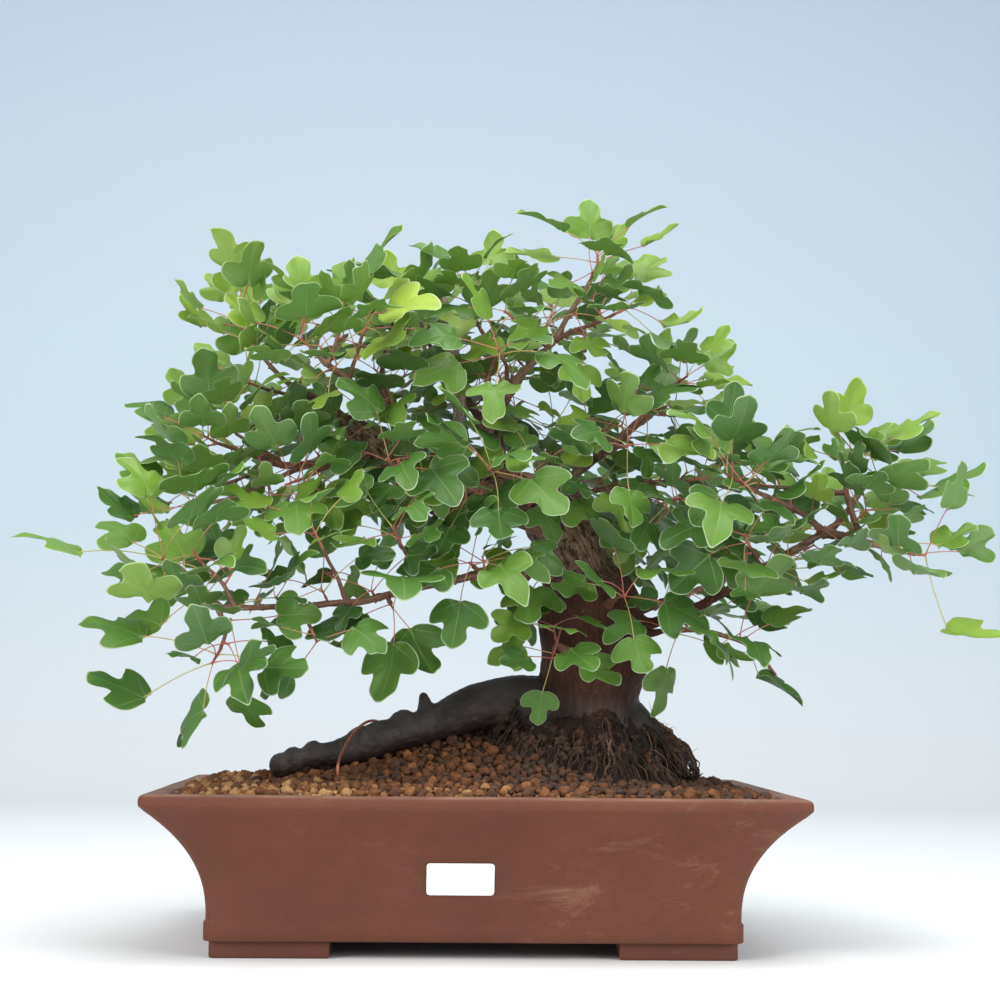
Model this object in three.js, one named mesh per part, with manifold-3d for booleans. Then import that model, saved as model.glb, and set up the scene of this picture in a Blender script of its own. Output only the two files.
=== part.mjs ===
// Bonsai maple in a rectangular stoneware pot.
//
// One pot, its drain screens and soil, one grown wood piece (roots, trunk and limbs), a tie wire,
// a blank label, and the leafy shoots that stand on the wood. Everything is in millimetres, +Z up,
// with the front of the pot towards -Y. The tree is set out from the middle of the pot and from
// the rim: its heights are heights above the rim, so the tree goes up and down with the pot.
// The whole is then moved so that the middle of its box, at the ground, is the origin.

import * as THREE from 'three';
import { mergeVertices } from 'three/addons/utils/BufferGeometryUtils.js';
import Module from 'manifold-3d';

const wasm = await Module();
wasm.setup();

// ---------------------------------------------------------------- sizes

const gap = 0.3;              // clearance between pieces that touch

const potLength = 430;        // over the lip, along X
const potDepth = 310;         // over the lip, along Y
const potHeight = 106;        // ground to rim
const cornerRadius = 10;      // upright corners of the pot's body
const lipCorner = 8;          // the same corners at the lip
const lipOverhang = 40;       // how far the lip leans out past the body
const lipEdge = 8;            // height of the rounded outer edge of the lip
const lipTop = 17;            // width of the flat top of the lip
const potWall = 9;
const potFloor = 11;
const leastCorner = 3;        // no corner of the pot is sharper than this
const hollowDraft = 2;        // how far the foot of the hollow is drawn in
const flarePower = 2.4;       // how late the wall turns outwards
const footHeight = 11;
const footReach = 78;         // length of a foot along the front
const footReturn = 58;        // length of a foot along the side
const footWidth = 30;
const footInset = 4;          // from the face of the band
const footRound = 4;          // outer corner of a foot, seen from above
const footSunk = 2;           // how far a foot runs up into the floor
const bandHeight = 12.5;
const bandProud = 1.2;        // how far the band stands out from the body

const drainDiameter = 34;
const drainSpacing = 170;     // between the middles of the two holes
const screenSide = 50;
const screenThick = 1.2;
const screenCells = 3;        // openings along each side of a screen
const screenBar = 3;

const soilBelowRim = 13;      // at the wall
const soilShoulder = 32;      // how far in from the wall the soil comes up to the rim
const moundHeight = 40;
const moundX = 24;
const moundY = 8;
const moundSpreadLeft = 92;
const moundSpreadRight = 54;
const moundSpreadY = 62;

const wireDiameter = 2;

const labelWidth = 44;
const labelHeight = 21;
const labelThick = 0.4;
const labelCorner = 2.5;
const labelX = -10;           // middle of the label from the middle of the pot
const labelZ = 52;

const leafWidth = 42;         // tip of one side lobe to tip of the other, on a full-size leaf
const leafLength = 35;
const leafThick = 1.1;        // at the middle; the rim is sharp
const stalkWidth = 1.3;
const stalkLength = 30;       // leaf stalk of a full-size leaf
const stemRadius = 1.4;
const leafClearance = 10.5;   // between the middles of two leaves' sample points
const woodClearance = 5;      // from a leaf's sample points to a limb's surface

// ---------------------------------------------------------------- the tree, from the pot's middle

// Each piece of wood is a run of [x, y, z, radius], z from the rim. Points are chosen by hand.
const trunk = [
  [84, 0, -22, 52], [84, 0, 10, 47], [81, 0, 36, 41], [82, 0, 66, 37.5], [86, 0, 100, 39.5],
  [84, 1, 128, 38], [79, 2, 143, 33], [72, 0, 152, 22],
];
const bend = [
  [80, 2, 118, 26], [73, -3, 150, 25], [64, -5, 180, 22.5], [46, -4, 201, 21], [16, 0, 209, 20],
  [-18, 2, 208, 18], [-50, 4, 226, 14], [-82, 6, 250, 11], [-96, 6, 262, 8],
];
const surfaceRoot = [
  [84, 0, 42, 30], [44, -8, 58, 20], [6, -15, 56, 17], [-32, -20, 43, 12.5], [-65, -28, 34, 12],
  [-94, -36, 24, 9.5], [-113, -42, 21, 7.5], [-131, -46, 17, 5.5],
];
const roots = [
  [[108, -6, 52, 17], [122, -14, 47, 8], [136, -23, 33, 5.5], [148, -31, 20, 4.5]],
  [[104, -20, 30, 14], [124, -44, 10, 8], [138, -62, -8, 5]],
  [[76, -26, 34, 15], [66, -56, 12, 9], [58, -80, -8, 5]],
  [[112, 16, 40, 15], [142, 34, 14, 8], [160, 44, -6, 5]],
  [[86, 26, 40, 16], [92, 62, 14, 9], [96, 88, -8, 5]],
  [[56, 20, 36, 15], [22, 48, 16, 9], [-4, 68, -6, 5]],
  [[-32, -20, 44, 9], [-34, -20, 58, 5.5], [-36, -20, 65, 3.5]],
];
const limbs = [
  // low left bough and its twigs
  [[72, -14, 152, 6.2], [56, -24, 152, 4.3], [36, -32, 150, 3.4], [2, -60, 147, 2.9],
    [-89, -90, 125, 2.4], [-140, -103, 121, 2], [-176, -110, 120, 1.7]],
  [[-170, -109, 120, 1.6], [-180, -116, 132, 1.5], [-190, -120, 141, 1.2], [-200, -124, 146, 1.2]],
  [[-172, -109, 120, 1.6], [-166, -118, 106, 1.3], [-168, -124, 92, 1.2]],
  [[-160, -107, 120, 1.6], [-170, -104, 136, 1.3], [-184, -102, 150, 1.2]],
  [[-60, -81, 132, 1.4], [-60, -86, 129, 1.3], [-60, -91, 126, 1.2]],
  [[2, -60, 147, 1.6], [0, -66, 150, 1.3], [-2, -71, 152, 1.2]],
  [[-88, -89, 126, 1.7], [-96, -94, 144, 1.3], [-104, -100, 160, 1.2]],
  [[-118, -97, 123, 1.6], [-114, -104, 114, 1.3], [-110, -112, 106, 1.2]],
  [[-30, -71, 139, 1.8], [-44, -82, 152, 1.3], [-52, -92, 164, 1.2]],
  // left bough, carrying on from the trunk's line
  [[-70, 5, 240, 7], [-92, -4, 232, 3.6], [-139, -10, 227, 2.5], [-155, -14, 232, 2],
    [-169, -20, 236, 1.7], [-184, -28, 240, 1.2]],
  [[-139, -10, 227, 2], [-158, -16, 240, 1.5], [-172, -20, 248, 1.2]],
  [[-146, -12, 229, 1.8], [-162, -20, 218, 1.4], [-177, -26, 212, 1.2]],
  [[-120, -8, 229, 2], [-146, -34, 212, 1.6], [-172, -56, 198, 1.3], [-190, -66, 192, 1.2]],
  [[-92, -4, 232, 2.2], [-112, -36, 220, 1.6], [-122, -58, 212, 1.2]],
  // upper left boughs
  [[-34, 2, 218, 8.6], [-50, -10, 245, 4.3], [-66, -20, 267, 3.3], [-92, -44, 284, 2.6],
    [-106, -57, 293, 2.1], [-118, -61, 304, 1.3]],
  [[-106, -57, 293, 1.7], [-101, -62, 304, 1.4], [-98, -64, 314, 1.3]],
  [[-84, 6, 252, 4.6], [-108, -4, 272, 2.6], [-137, -20, 286, 1.8], [-159, -28, 310, 1.3],
    [-167, -30, 321, 1.2]],
  [[-120, -12, 277, 1.7], [-142, -2, 281, 1.3], [-158, 4, 286, 1.2]],
  [[-62, -18, 264, 2.6], [-70, 2, 300, 1.8], [-64, 6, 326, 1.3], [-62, 6, 338, 1.2]],
  [[-92, -44, 284, 1.7], [-86, -54, 302, 1.3], [-82, -60, 314, 1.2]],
  // dead stub with its cut knot
  [[-10, 2, 222, 8], [-12, 0, 256, 5.4], [-14, -2, 290, 4.4], [-19, -2, 322, 4.2], [-22, -2, 338, 5.2],
    [-25, -2, 348, 4.2], [-30, -2, 360, 3.4]],
  [[-14, 0, 286, 2.6], [-32, 12, 316, 1.6], [-42, 14, 338, 1.3], [-42, 14, 350, 1.2]],
  // apex
  [[20, -2, 214, 9.4], [14, -8, 246, 5], [9, -10, 270, 4], [30, -18, 294, 2.8], [55, -25, 319, 2.2],
    [66, -28, 339, 1.8], [76, -30, 355, 1.5], [85, -30, 371, 1.2]],
  [[55, -25, 319, 1.8], [72, -26, 327, 1.5], [88, -25, 333, 1.3], [98, -25, 339, 1.2]],
  [[9, -10, 268, 2.9], [8, -14, 294, 2.1], [12, -18, 309, 1.7], [1, -20, 328, 1.4], [-6, -22, 346, 1.2]],
  [[50, -24, 314, 1.7], [38, -32, 323, 1.3], [28, -36, 329, 1.2]],
  [[12, -6, 262, 3.3], [30, 20, 294, 2.3], [45, 42, 324, 1.7], [55, 56, 348, 1.3]],
  [[9, -9, 256, 4], [-15, 30, 294, 2.1], [-34, 54, 318, 1.6], [-44, 68, 338, 1.2]],
  [[20, -14, 282, 2], [20, -44, 292, 1.5], [16, -66, 298, 1.2]],
  // right limb and the thin one beside it
  [[48, -2, 204, 9.4], [62, -1, 218, 4.6], [95, -5, 242, 3.3], [120, -12, 266, 2.6], [142, -20, 289, 1.6]],
  [[60, -2, 206, 4], [84, -8, 212, 2], [127, -12, 219, 1.5], [152, -16, 220, 1.2]],
  [[112, -10, 258, 2], [130, 14, 272, 1.5], [140, 34, 284, 1.2]],
  [[92, -5, 240, 2], [100, -36, 240, 1.4], [102, -56, 238, 1.2]],
  [[104, -9, 216, 1.6], [124, -34, 206, 1.3], [134, -48, 202, 1.2]],
  // low right bough with its knots and forks
  [[104, -6, 112, 9.4], [126, -12, 117, 5], [157, -20, 128, 3.6], [171, -28, 136, 3.3],
    [205, -42, 147, 3], [221, -50, 159, 2.9], [234, -56, 175, 2.8], [241, -60, 180, 3.3],
    [266, -70, 174, 2.4], [300, -80, 164, 1.5]],
  [[266, -70, 174, 2.1], [260, -66, 194, 2], [257, -62, 208, 2.1], [259, -58, 228, 1.5]],
  [[241, -60, 180, 2.4], [250, -58, 185, 2.4], [266, -50, 205, 2.2], [276, -45, 216, 1.2]],
  [[257, -62, 208, 1.7], [237, -52, 209, 1.6], [206, -40, 214, 1.3]],
  [[241, -60, 180, 2.5], [227, -64, 192, 2.2], [203, -74, 201, 1.8], [181, -84, 210, 1.3]],
  [[171, -28, 136, 2.2], [180, -10, 156, 1.7], [184, 4, 176, 1.3]],
  [[205, -42, 147, 2], [196, -58, 158, 1.5], [188, -70, 168, 1.2]],
  [[104, -12, 106, 7], [138, -36, 112, 2], [161, -44, 111, 1.6], [176, -48, 107, 1.2]],
  [[161, -44, 111, 1.3], [186, -42, 104, 1.2], [198, -40, 97, 1.2], [211, -38, 81, 1.2]],
  // short boughs on the front of the trunk
  [[40, -14, 186, 4], [26, -25, 188, 2.4], [12, -34, 196, 2], [0, -38, 199, 1.6]],
  [[48, -18, 182, 4], [33, -27, 188, 2.2], [36, -34, 204, 1.8], [38, -36, 212, 1.5]],
  [[24, -12, 210, 4], [24, -48, 214, 1.8], [12, -84, 216, 1.3]],
  [[-30, -8, 204, 4], [-44, -44, 214, 1.7], [-56, -66, 220, 1.2]],
  [[64, -32, 96, 3.3], [56, -44, 100, 1.6], [54, -54, 96, 1.2]],
  [[92, -32, 128, 3.3], [98, -46, 134, 1.6], [100, -54, 134, 1.2]],
  // boughs at the back, out of sight from the front
  [[70, 12, 168, 7], [88, 60, 186, 3.3], [102, 104, 206, 2.4], [112, 142, 220, 1.6]],
  [[92, 72, 192, 2.2], [124, 92, 206, 1.6], [150, 106, 216, 1.2]],
  [[-8, 12, 210, 7], [-28, 60, 230, 3.3], [-48, 104, 240, 2.2], [-58, 138, 246, 1.6]],
  [[-34, 74, 233, 2.1], [-72, 88, 244, 1.6], [-100, 98, 250, 1.2]],
  [[98, 26, 118, 7], [138, 66, 134, 3], [176, 100, 148, 2.1], [200, 118, 156, 1.6]],
  [[50, 14, 196, 4], [56, 56, 230, 2.2], [60, 86, 260, 1.6]],
];

// Each shoot: where it leaves the wood, where it ends, pairs of leaves, size of its leaves and the
// length of its stalks against the full size.
const shoots = [
  [[-200, -124, 146], [-206, -134, 150], 3, 1.05, 1.45],
  [[-168, -124, 92], [-172, -134, 83], 3, 1, 1.35],
  [[-104, -100, 160], [-112, -106, 176], 3, 0.8, 1],
  [[-110, -112, 106], [-106, -116, 98], 2, 0.7, 1],
  [[-176, -110, 120], [-190, -114, 124], 2, 0.85, 1],
  [[-52, -92, 164], [-58, -100, 176], 3, 0.85, 1],
  [[-184, -28, 240], [-193, -36, 244], 3, 0.9, 1],
  [[-172, -20, 248], [-180, -26, 256], 3, 0.85, 1],
  [[-177, -26, 212], [-188, -34, 210], 3, 0.9, 1],
  [[-190, -66, 192], [-198, -76, 190], 3, 0.95, 1.1],
  [[-122, -58, 212], [-132, -74, 206], 3, 0.9, 1],
  [[-118, -61, 304], [-126, -69, 309], 3, 0.95, 1],
  [[-98, -64, 314], [-100, -70, 323], 3, 1.05, 1],
  [[-167, -30, 321], [-172, -38, 326], 3, 0.9, 0.9],
  [[-158, 4, 286], [-168, -2, 289], 3, 0.9, 0.9],
  [[-62, 6, 338], [-64, 0, 346], 3, 0.85, 0.9],
  [[-82, -60, 314], [-78, -68, 320], 3, 0.95, 1],
  [[-42, 14, 350], [-42, 8, 359], 3, 0.8, 0.9],
  [[85, -30, 371], [84, -36, 381], 3, 0.9, 1],
  [[98, -25, 339], [108, -30, 343], 3, 0.9, 1.1],
  [[-6, -22, 346], [-8, -24, 360], 3, 0.75, 0.8],
  [[28, -36, 329], [18, -42, 336], 3, 0.85, 0.9],
  [[55, 56, 348], [60, 62, 362], 3, 0.85, 1],
  [[-44, 68, 338], [-52, 76, 350], 3, 0.85, 1],
  [[16, -66, 298], [12, -78, 302], 3, 0.95, 1],
  [[142, -20, 289], [150, -28, 294], 3, 0.85, 1],
  [[152, -16, 220], [166, -20, 222], 3, 0.85, 0.9],
  [[140, 34, 284], [146, 48, 292], 3, 0.85, 1],
  [[102, -56, 238], [104, -70, 238], 3, 0.95, 1],
  [[134, -48, 202], [142, -60, 202], 3, 0.9, 1],
  [[300, -80, 164], [306, -85, 163], 2, 1, 1.5],
  [[259, -58, 228], [262, -66, 234], 3, 1, 1.15],
  [[276, -45, 216], [282, -53, 220], 3, 0.95, 1.25],
  [[206, -40, 214], [192, -34, 218], 3, 0.9, 1],
  [[181, -84, 210], [168, -92, 216], 3, 1, 1],
  [[184, 4, 176], [186, 12, 190], 3, 0.9, 1],
  [[188, -70, 168], [182, -82, 176], 3, 0.95, 1],
  [[176, -48, 107], [187, -56, 106], 3, 1, 0.9],
  [[0, -38, 199], [-12, -48, 204], 3, 0.9, 1],
  [[38, -36, 212], [42, -46, 224], 3, 0.95, 1],
  [[12, -84, 216], [6, -96, 216], 3, 0.95, 1],
  [[-56, -66, 220], [-64, -78, 224], 3, 0.95, 1],
  [[54, -54, 96], [52, -64, 90], 3, 0.72, 0.8],
  [[100, -54, 134], [102, -66, 134], 3, 0.95, 1],
  [[112, 142, 220], [118, 156, 224], 3, 0.95, 1],
  [[150, 106, 216], [164, 112, 222], 3, 0.95, 1],
  [[-58, 138, 246], [-62, 152, 250], 3, 0.95, 1],
  [[-100, 98, 250], [-116, 102, 254], 3, 0.95, 1],
  [[200, 118, 156], [214, 126, 160], 3, 0.95, 1],
  [[60, 86, 260], [62, 98, 272], 3, 0.9, 1],
  [[-184, -102, 150], [-189, -109, 157], 3, 0.95, 1.2],
  [[-2, -71, 152], [-6, -80, 154], 3, 0.95, 1.1],
  [[-60, -91, 126], [-57, -99, 122], 2, 1.1, 0.8],
];

// ---------------------------------------------------------------- solids

// A closed solid skinned over rings of points, every ring with as many points, in order.
function skin(rings) {
  const sides = rings[0].length;
  const positions = [];
  const faces = [];
  for (const ring of rings) {
    for (const point of ring) positions.push(...point);
  }
  for (let ring = 0; ring + 1 < rings.length; ring += 1) {
    for (let side = 0; side < sides; side += 1) {
      const next = (side + 1) % sides;
      const a = ring * sides + side;
      const b = ring * sides + next;
      faces.push(a, b, b + sides, a, b + sides, a + sides);
    }
  }
  const top = (rings.length - 1) * sides;
  for (let side = 1; side + 1 < sides; side += 1) {
    faces.push(0, side + 1, side);
    faces.push(top, top + side, top + side + 1);
  }
  return solid(positions, faces);
}

function solid(positions, faces) {
  const mesh = new wasm.Mesh({
    numProp: 3,
    vertProperties: Float32Array.from(positions),
    triVerts: Uint32Array.from(faces),
  });
  return new wasm.Manifold(mesh);
}

function fromGeometry(geometry) {
  const bare = geometry.index ? geometry.clone() : geometry;
  bare.deleteAttribute('normal');
  bare.deleteAttribute('uv');
  const merged = mergeVertices(bare, 1e-4);
  return solid(merged.attributes.position.array, merged.index.array);
}

function toMesh(shape, name, material) {
  const mesh = shape.getMesh();
  const geometry = new THREE.BufferGeometry();
  geometry.setAttribute('position', new THREE.Float32BufferAttribute(mesh.vertProperties, 3));
  geometry.setIndex([...mesh.triVerts]);
  geometry.computeVertexNormals();
  const part = new THREE.Mesh(geometry, material);
  part.name = name;
  return part;
}

function unite(shapes) {
  return shapes.reduce((whole, shape) => whole.add(shape));
}

function finish(color, roughness, metalness = 0) {
  return new THREE.MeshStandardMaterial({ color, roughness, metalness });
}

// ---------------------------------------------------------------- pot

const cornerSteps = 4;        // facets around each upright corner
const wallRings = 7;          // steps in the curve of the wall

const bodyLength = potLength - 2 * lipOverhang;
const bodyDepth = potDepth - 2 * lipOverhang;
const bandTop = footHeight + bandHeight;
const lipBottom = potHeight - lipEdge;
const floorTop = footHeight + potFloor;

// The body's outline, grown all round by an offset.
function outline(offset, z) {
  const halfX = bodyLength / 2 + offset;
  const halfY = bodyDepth / 2 + offset;
  const turned = cornerRadius + (lipCorner - cornerRadius) * offset / lipOverhang;
  const radius = Math.max(leastCorner, turned);
  const points = [];
  const corners = [[1, 1], [-1, 1], [-1, -1], [1, -1]];
  corners.forEach(([sideX, sideY], quarter) => {
    for (let step = 0; step <= cornerSteps; step += 1) {
      const angle = (quarter + step / cornerSteps) * Math.PI / 2;
      points.push([
        sideX * (halfX - radius) + radius * Math.cos(angle),
        sideY * (halfY - radius) + radius * Math.sin(angle),
        z,
      ]);
    }
  });
  return points;
}

// How far the outside of the wall leans out at a height above the band.
function flare(z) {
  const share = (z - bandTop) / (lipBottom - bandTop);
  return lipOverhang * Math.max(0, share) ** flarePower;
}

function potOutside(grow) {
  const rings = [
    outline(bandProud + grow, footHeight - grow),
    outline(bandProud + grow, bandTop - 0.6),
    outline(grow, bandTop + 0.6),
  ];
  for (let step = 1; step <= wallRings; step += 1) {
    const z = bandTop + (lipBottom - bandTop) * (step / wallRings) ** 0.8;
    rings.push(outline(flare(z) - 0.8 * (step === wallRings) + grow, z));
  }
  rings.push(outline(lipOverhang + grow, lipBottom + 0.3 * lipEdge));
  rings.push(outline(lipOverhang - 0.4 + grow, lipBottom + 0.7 * lipEdge));
  rings.push(outline(lipOverhang - 3 + grow, potHeight + grow));
  return skin(rings);
}

// The hollow of the pot; a negative grow leaves a clearance inside it.
function potInside(grow, top = potHeight + 1) {
  const rings = [outline(-potWall - hollowDraft + grow, floorTop - grow)];
  for (let step = 0; step < wallRings; step += 1) {
    const z = bandTop + (lipBottom - 6 - bandTop) * (step / (wallRings - 1));
    rings.push(outline(flare(z) - potWall * (1 + 0.3 * step / wallRings) + grow, z));
  }
  rings.push(outline(lipOverhang - lipTop - hollowDraft + grow, potHeight - hollowDraft));
  rings.push(outline(lipOverhang - lipTop + grow, potHeight));
  rings.push(outline(lipOverhang - lipTop + grow, top));
  return skin(rings);
}

// An L-shaped foot at the corner given by the two signs.
function foot(sideX, sideY) {
  const cornerX = bodyLength / 2 + bandProud - footInset;
  const cornerY = bodyDepth / 2 + bandProud - footInset;
  const shape = new THREE.Shape();
  shape.moveTo(cornerX - footRound, cornerY);
  shape.lineTo(cornerX - footReach, cornerY);
  shape.lineTo(cornerX - footReach, cornerY - footWidth);
  shape.lineTo(cornerX - footWidth, cornerY - footWidth);
  shape.lineTo(cornerX - footWidth, cornerY - footReturn);
  shape.lineTo(cornerX, cornerY - footReturn);
  shape.lineTo(cornerX, cornerY - footRound);
  shape.quadraticCurveTo(cornerX, cornerY, cornerX - footRound, cornerY);
  const geometry = new THREE.ExtrudeGeometry(shape, {
    depth: footHeight + footSunk,
    bevelEnabled: false,
    curveSegments: 3,
  });
  return fromGeometry(geometry).scale([sideX, sideY, 1]);
}

function drainHoleX(side) {
  return side * drainSpacing / 2;
}

function pot() {
  let body = potOutside(0).subtract(potInside(0));
  for (const side of [-1, 1]) {
    const hole = fromGeometry(new THREE.CylinderGeometry(drainDiameter / 2, drainDiameter / 2, 60, 24));
    body = body.subtract(hole.rotate([90, 0, 0]).translate([drainHoleX(side), 0, 0]));
    body = body.add(foot(side, 1)).add(foot(side, -1));
  }
  return toMesh(body, 'pot', finish(0x784a3c, 0.78));
}

// ---------------------------------------------------------------- drain screens

function screenPlate() {
  const pitch = (screenSide - screenBar) / screenCells;
  const bars = [];
  for (let bar = 0; bar <= screenCells; bar += 1) {
    const place = -(screenSide - screenBar) / 2 + bar * pitch;
    const along = new THREE.BoxGeometry(screenSide, screenBar, screenThick);
    const across = new THREE.BoxGeometry(screenBar, screenSide, screenThick);
    bars.push(fromGeometry(along).translate([0, place, screenThick / 2]));
    bars.push(fromGeometry(across).translate([place, 0, screenThick / 2]));
  }
  return unite(bars);
}

function drainScreen(side, name) {
  const plate = screenPlate().translate([drainHoleX(side), 0, floorTop + gap]);
  return toMesh(plate, name, finish(0x22262a, 0.6));
}

function screenSpace(side) {
  const geometry = new THREE.BoxGeometry(screenSide + 2 * gap, screenSide + 2 * gap, screenThick + 3 * gap);
  return fromGeometry(geometry).translate([drainHoleX(side), 0, floorTop + gap + screenThick / 2]);
}

// ---------------------------------------------------------------- wood

// Radii and points of a run, smoothed by a curve through them, with a ring at each step.
function limb(points, sides, steps, grow = 0) {
  const curve = new THREE.CatmullRomCurve3(
    points.map(([x, y, z]) => new THREE.Vector3(x, y, z + potHeight)),
    false,
    'centripetal',
  );
  const rings = [];
  let across = null;
  for (let step = 0; step <= steps; step += 1) {
    const along = step / steps;
    const middle = curve.getPoint(along);
    const forward = curve.getTangent(along);
    const place = along * (points.length - 1);
    const before = Math.min(Math.floor(place), points.length - 2);
    const radius = THREE.MathUtils.lerp(points[before][3], points[before + 1][3], place - before) + grow;
    across ??= new THREE.Vector3(0.3, 0.9, 0.2).cross(forward);
    across.addScaledVector(forward, -across.dot(forward)).normalize();
    const side = new THREE.Vector3().crossVectors(forward, across);
    const ring = [];
    for (let turn = 0; turn < sides; turn += 1) {
      const angle = 2 * Math.PI * turn / sides;
      const point = middle.clone();
      point.addScaledVector(across, radius * Math.cos(angle));
      point.addScaledVector(side, radius * Math.sin(angle));
      ring.push(point.toArray());
    }
    rings.push(ring);
    if (grow > 0 && (step === 0 || step === steps)) {
      const push = forward.clone().multiplyScalar(step === 0 ? -grow : grow);
      for (const point of ring) {
        point[0] += push.x;
        point[1] += push.y;
        point[2] += push.z;
      }
    }
  }
  return skin(rings);
}

function limbSides(points) {
  if (points[0][3] > 8) return 7;
  return points[0][3] > 4 ? 5 : 4;
}

function limbSteps(points) {
  return points.length < 5 ? points.length - 1 : points.length + 1;
}

function woodShape(grow) {
  const pieces = [limb(trunk, 14, 9, grow), limb(bend, 11, 12, grow), limb(surfaceRoot, 9, 11, grow)];
  for (const root of roots) pieces.push(limb(root, 7, 4, grow));
  for (const run of limbs) pieces.push(limb(run, limbSides(run), limbSteps(run), grow));
  return unite(pieces);
}

// Only what stands near the ground can touch the soil.
function buriedWood(grow) {
  const pieces = [limb(trunk, 14, 9, grow), limb(surfaceRoot, 9, 11, grow)];
  for (const root of roots) pieces.push(limb(root, 7, 4, grow));
  return unite(pieces);
}

// ---------------------------------------------------------------- tie wire

// Up through the left drain hole, over the surface root and back, ends turned flat under the floor.
function wirePath() {
  const hole = drainHoleX(-1);
  const under = footHeight - 2 - potHeight;
  return [
    [hole - 36, -12, under], [hole - 12, -12, under], [hole - 4, -12, under + 3],
    [hole - 1, -12, under + 12], [hole - 1, -12.5, under + 26], [-88, -58, -16], [-93, -69, 14],
    [-89, -56, 28], [-82, -42, 39.5], [-74, -31, 45.5], [-67, -19, 45], [-61, -8, 38],
    [-60, 4, 20], [-68, 14, -30], [hole + 1, 12.5, under + 26], [hole + 1, 12, under + 12],
    [hole + 4, 12, under + 3], [hole + 12, 12, under], [hole + 36, 12, under],
  ];
}

function wireShape(grow) {
  const radius = wireDiameter / 2 + grow;
  const curve = new THREE.CatmullRomCurve3(
    wirePath().map(([x, y, z]) => new THREE.Vector3(x, y, z + potHeight)),
    false,
    'centripetal',
  );
  const section = new THREE.Shape();
  section.absarc(0, 0, radius, 0, 2 * Math.PI);
  const geometry = new THREE.ExtrudeGeometry(section, {
    extrudePath: curve,
    steps: 34,
    curveSegments: 6,
  });
  return fromGeometry(geometry);
}

// ---------------------------------------------------------------- soil

const soilRings = 7;

function soilHeight(x, y, share) {
  const inside = Math.min(1, (1 - share) * (bodyDepth / 2) / soilShoulder);
  const edge = potHeight - soilBelowRim * (1 - inside) ** 2;
  const awayX = (x - moundX) / (x < moundX ? moundSpreadLeft : moundSpreadRight);
  const awayY = (y - moundY) / moundSpreadY;
  return edge + inside * moundHeight * Math.exp(-(awayX ** 2 + awayY ** 2) / 2);
}

function soilShape() {
  const top = potHeight - soilBelowRim;
  const fill = potInside(-gap, potHeight + 120);
  const edge = outline(lipOverhang, top);
  const rings = [outline(lipOverhang, floorTop)];
  for (let ring = 0; ring <= soilRings; ring += 1) {
    const share = 1 - ring / (soilRings + 0.5);
    rings.push(edge.map(([x, y]) => [x * share, y * share, soilHeight(x * share, y * share, share)]));
  }
  return fill.intersect(skin(rings));
}

function soil() {
  let body = soilShape().subtract(buriedWood(gap)).subtract(wireShape(gap));
  for (const side of [-1, 1]) body = body.subtract(screenSpace(side));
  return toMesh(body, 'soil', finish(0x8c5530, 0.95));
}

// ---------------------------------------------------------------- label

function label() {
  const halfX = labelWidth / 2;
  const halfZ = labelHeight / 2;
  const shape = new THREE.Shape();
  shape.moveTo(-halfX + labelCorner, -halfZ);
  shape.lineTo(halfX - labelCorner, -halfZ);
  shape.quadraticCurveTo(halfX, -halfZ, halfX, -halfZ + labelCorner);
  shape.lineTo(halfX, halfZ - labelCorner);
  shape.quadraticCurveTo(halfX, halfZ, halfX - labelCorner, halfZ);
  shape.lineTo(-halfX + labelCorner, halfZ);
  shape.quadraticCurveTo(-halfX, halfZ, -halfX, halfZ - labelCorner);
  shape.lineTo(-halfX, -halfZ + labelCorner);
  shape.quadraticCurveTo(-halfX, -halfZ, -halfX + labelCorner, -halfZ);
  const geometry = new THREE.ExtrudeGeometry(shape, {
    depth: bodyDepth,
    bevelEnabled: false,
    curveSegments: 3,
  });
  const column = fromGeometry(geometry).rotate([90, 0, 0]).translate([labelX, 0, labelZ]);
  const sheet = potOutside(gap + labelThick).subtract(potOutside(gap));
  return toMesh(sheet.intersect(column), 'label', finish(0xf2f2ee, 0.6));
}

// ---------------------------------------------------------------- leafy shoots

// Each leaf draws its own four numbers from its own place in the tree, so no leaf depends on
// how many its neighbours drew.
function draws(shoot, leaf) {
  let state = (shoot * 7919 + leaf * 104729 + 12345) % 2147483647;
  const numbers = [];
  for (let count = 0; count < 7; count += 1) {
    state = (state * 16807) % 2147483647;
    numbers.push(state / 2147483647);
  }
  return numbers.slice(3);
}

// Sample points of everything that is already placed: [x, y, z, radius].
const taken = [];

function takeLimb(points) {
  for (let index = 0; index + 1 < points.length; index += 1) {
    const [x0, y0, z0, r0] = points[index];
    const [x1, y1, z1, r1] = points[index + 1];
    const count = Math.max(1, Math.ceil(Math.hypot(x1 - x0, y1 - y0, z1 - z0) / 6));
    for (let step = 0; step <= count; step += 1) {
      const share = step / count;
      taken.push([
        x0 + (x1 - x0) * share,
        y0 + (y1 - y0) * share,
        z0 + (z1 - z0) * share,
        r0 + (r1 - r0) * share + woodClearance - leafClearance / 2,
      ]);
    }
  }
}

function isFree(points, others) {
  for (const [x, y, z, radius] of points) {
    for (const [otherX, otherY, otherZ, otherRadius] of others) {
      const reach = radius + otherRadius;
      if ((x - otherX) ** 2 + (y - otherY) ** 2 + (z - otherZ) ** 2 < reach ** 2) return false;
    }
  }
  return true;
}

// The outline of a leaf in its own plane, as shares of its half width and its length.
const leafOutline = [[-1, 0.36], [-0.34, 0.5], [0, 1], [0.34, 0.5], [1, 0.36]];
const leafSamples = [
  [0, 0.1], [0, 0.32], [0, 0.55], [0, 0.78], [0, 0.95], [-0.3, 0.2], [0.3, 0.2], [-0.58, 0.28],
  [0.58, 0.28], [-0.85, 0.36], [0.85, 0.36],
];

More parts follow.
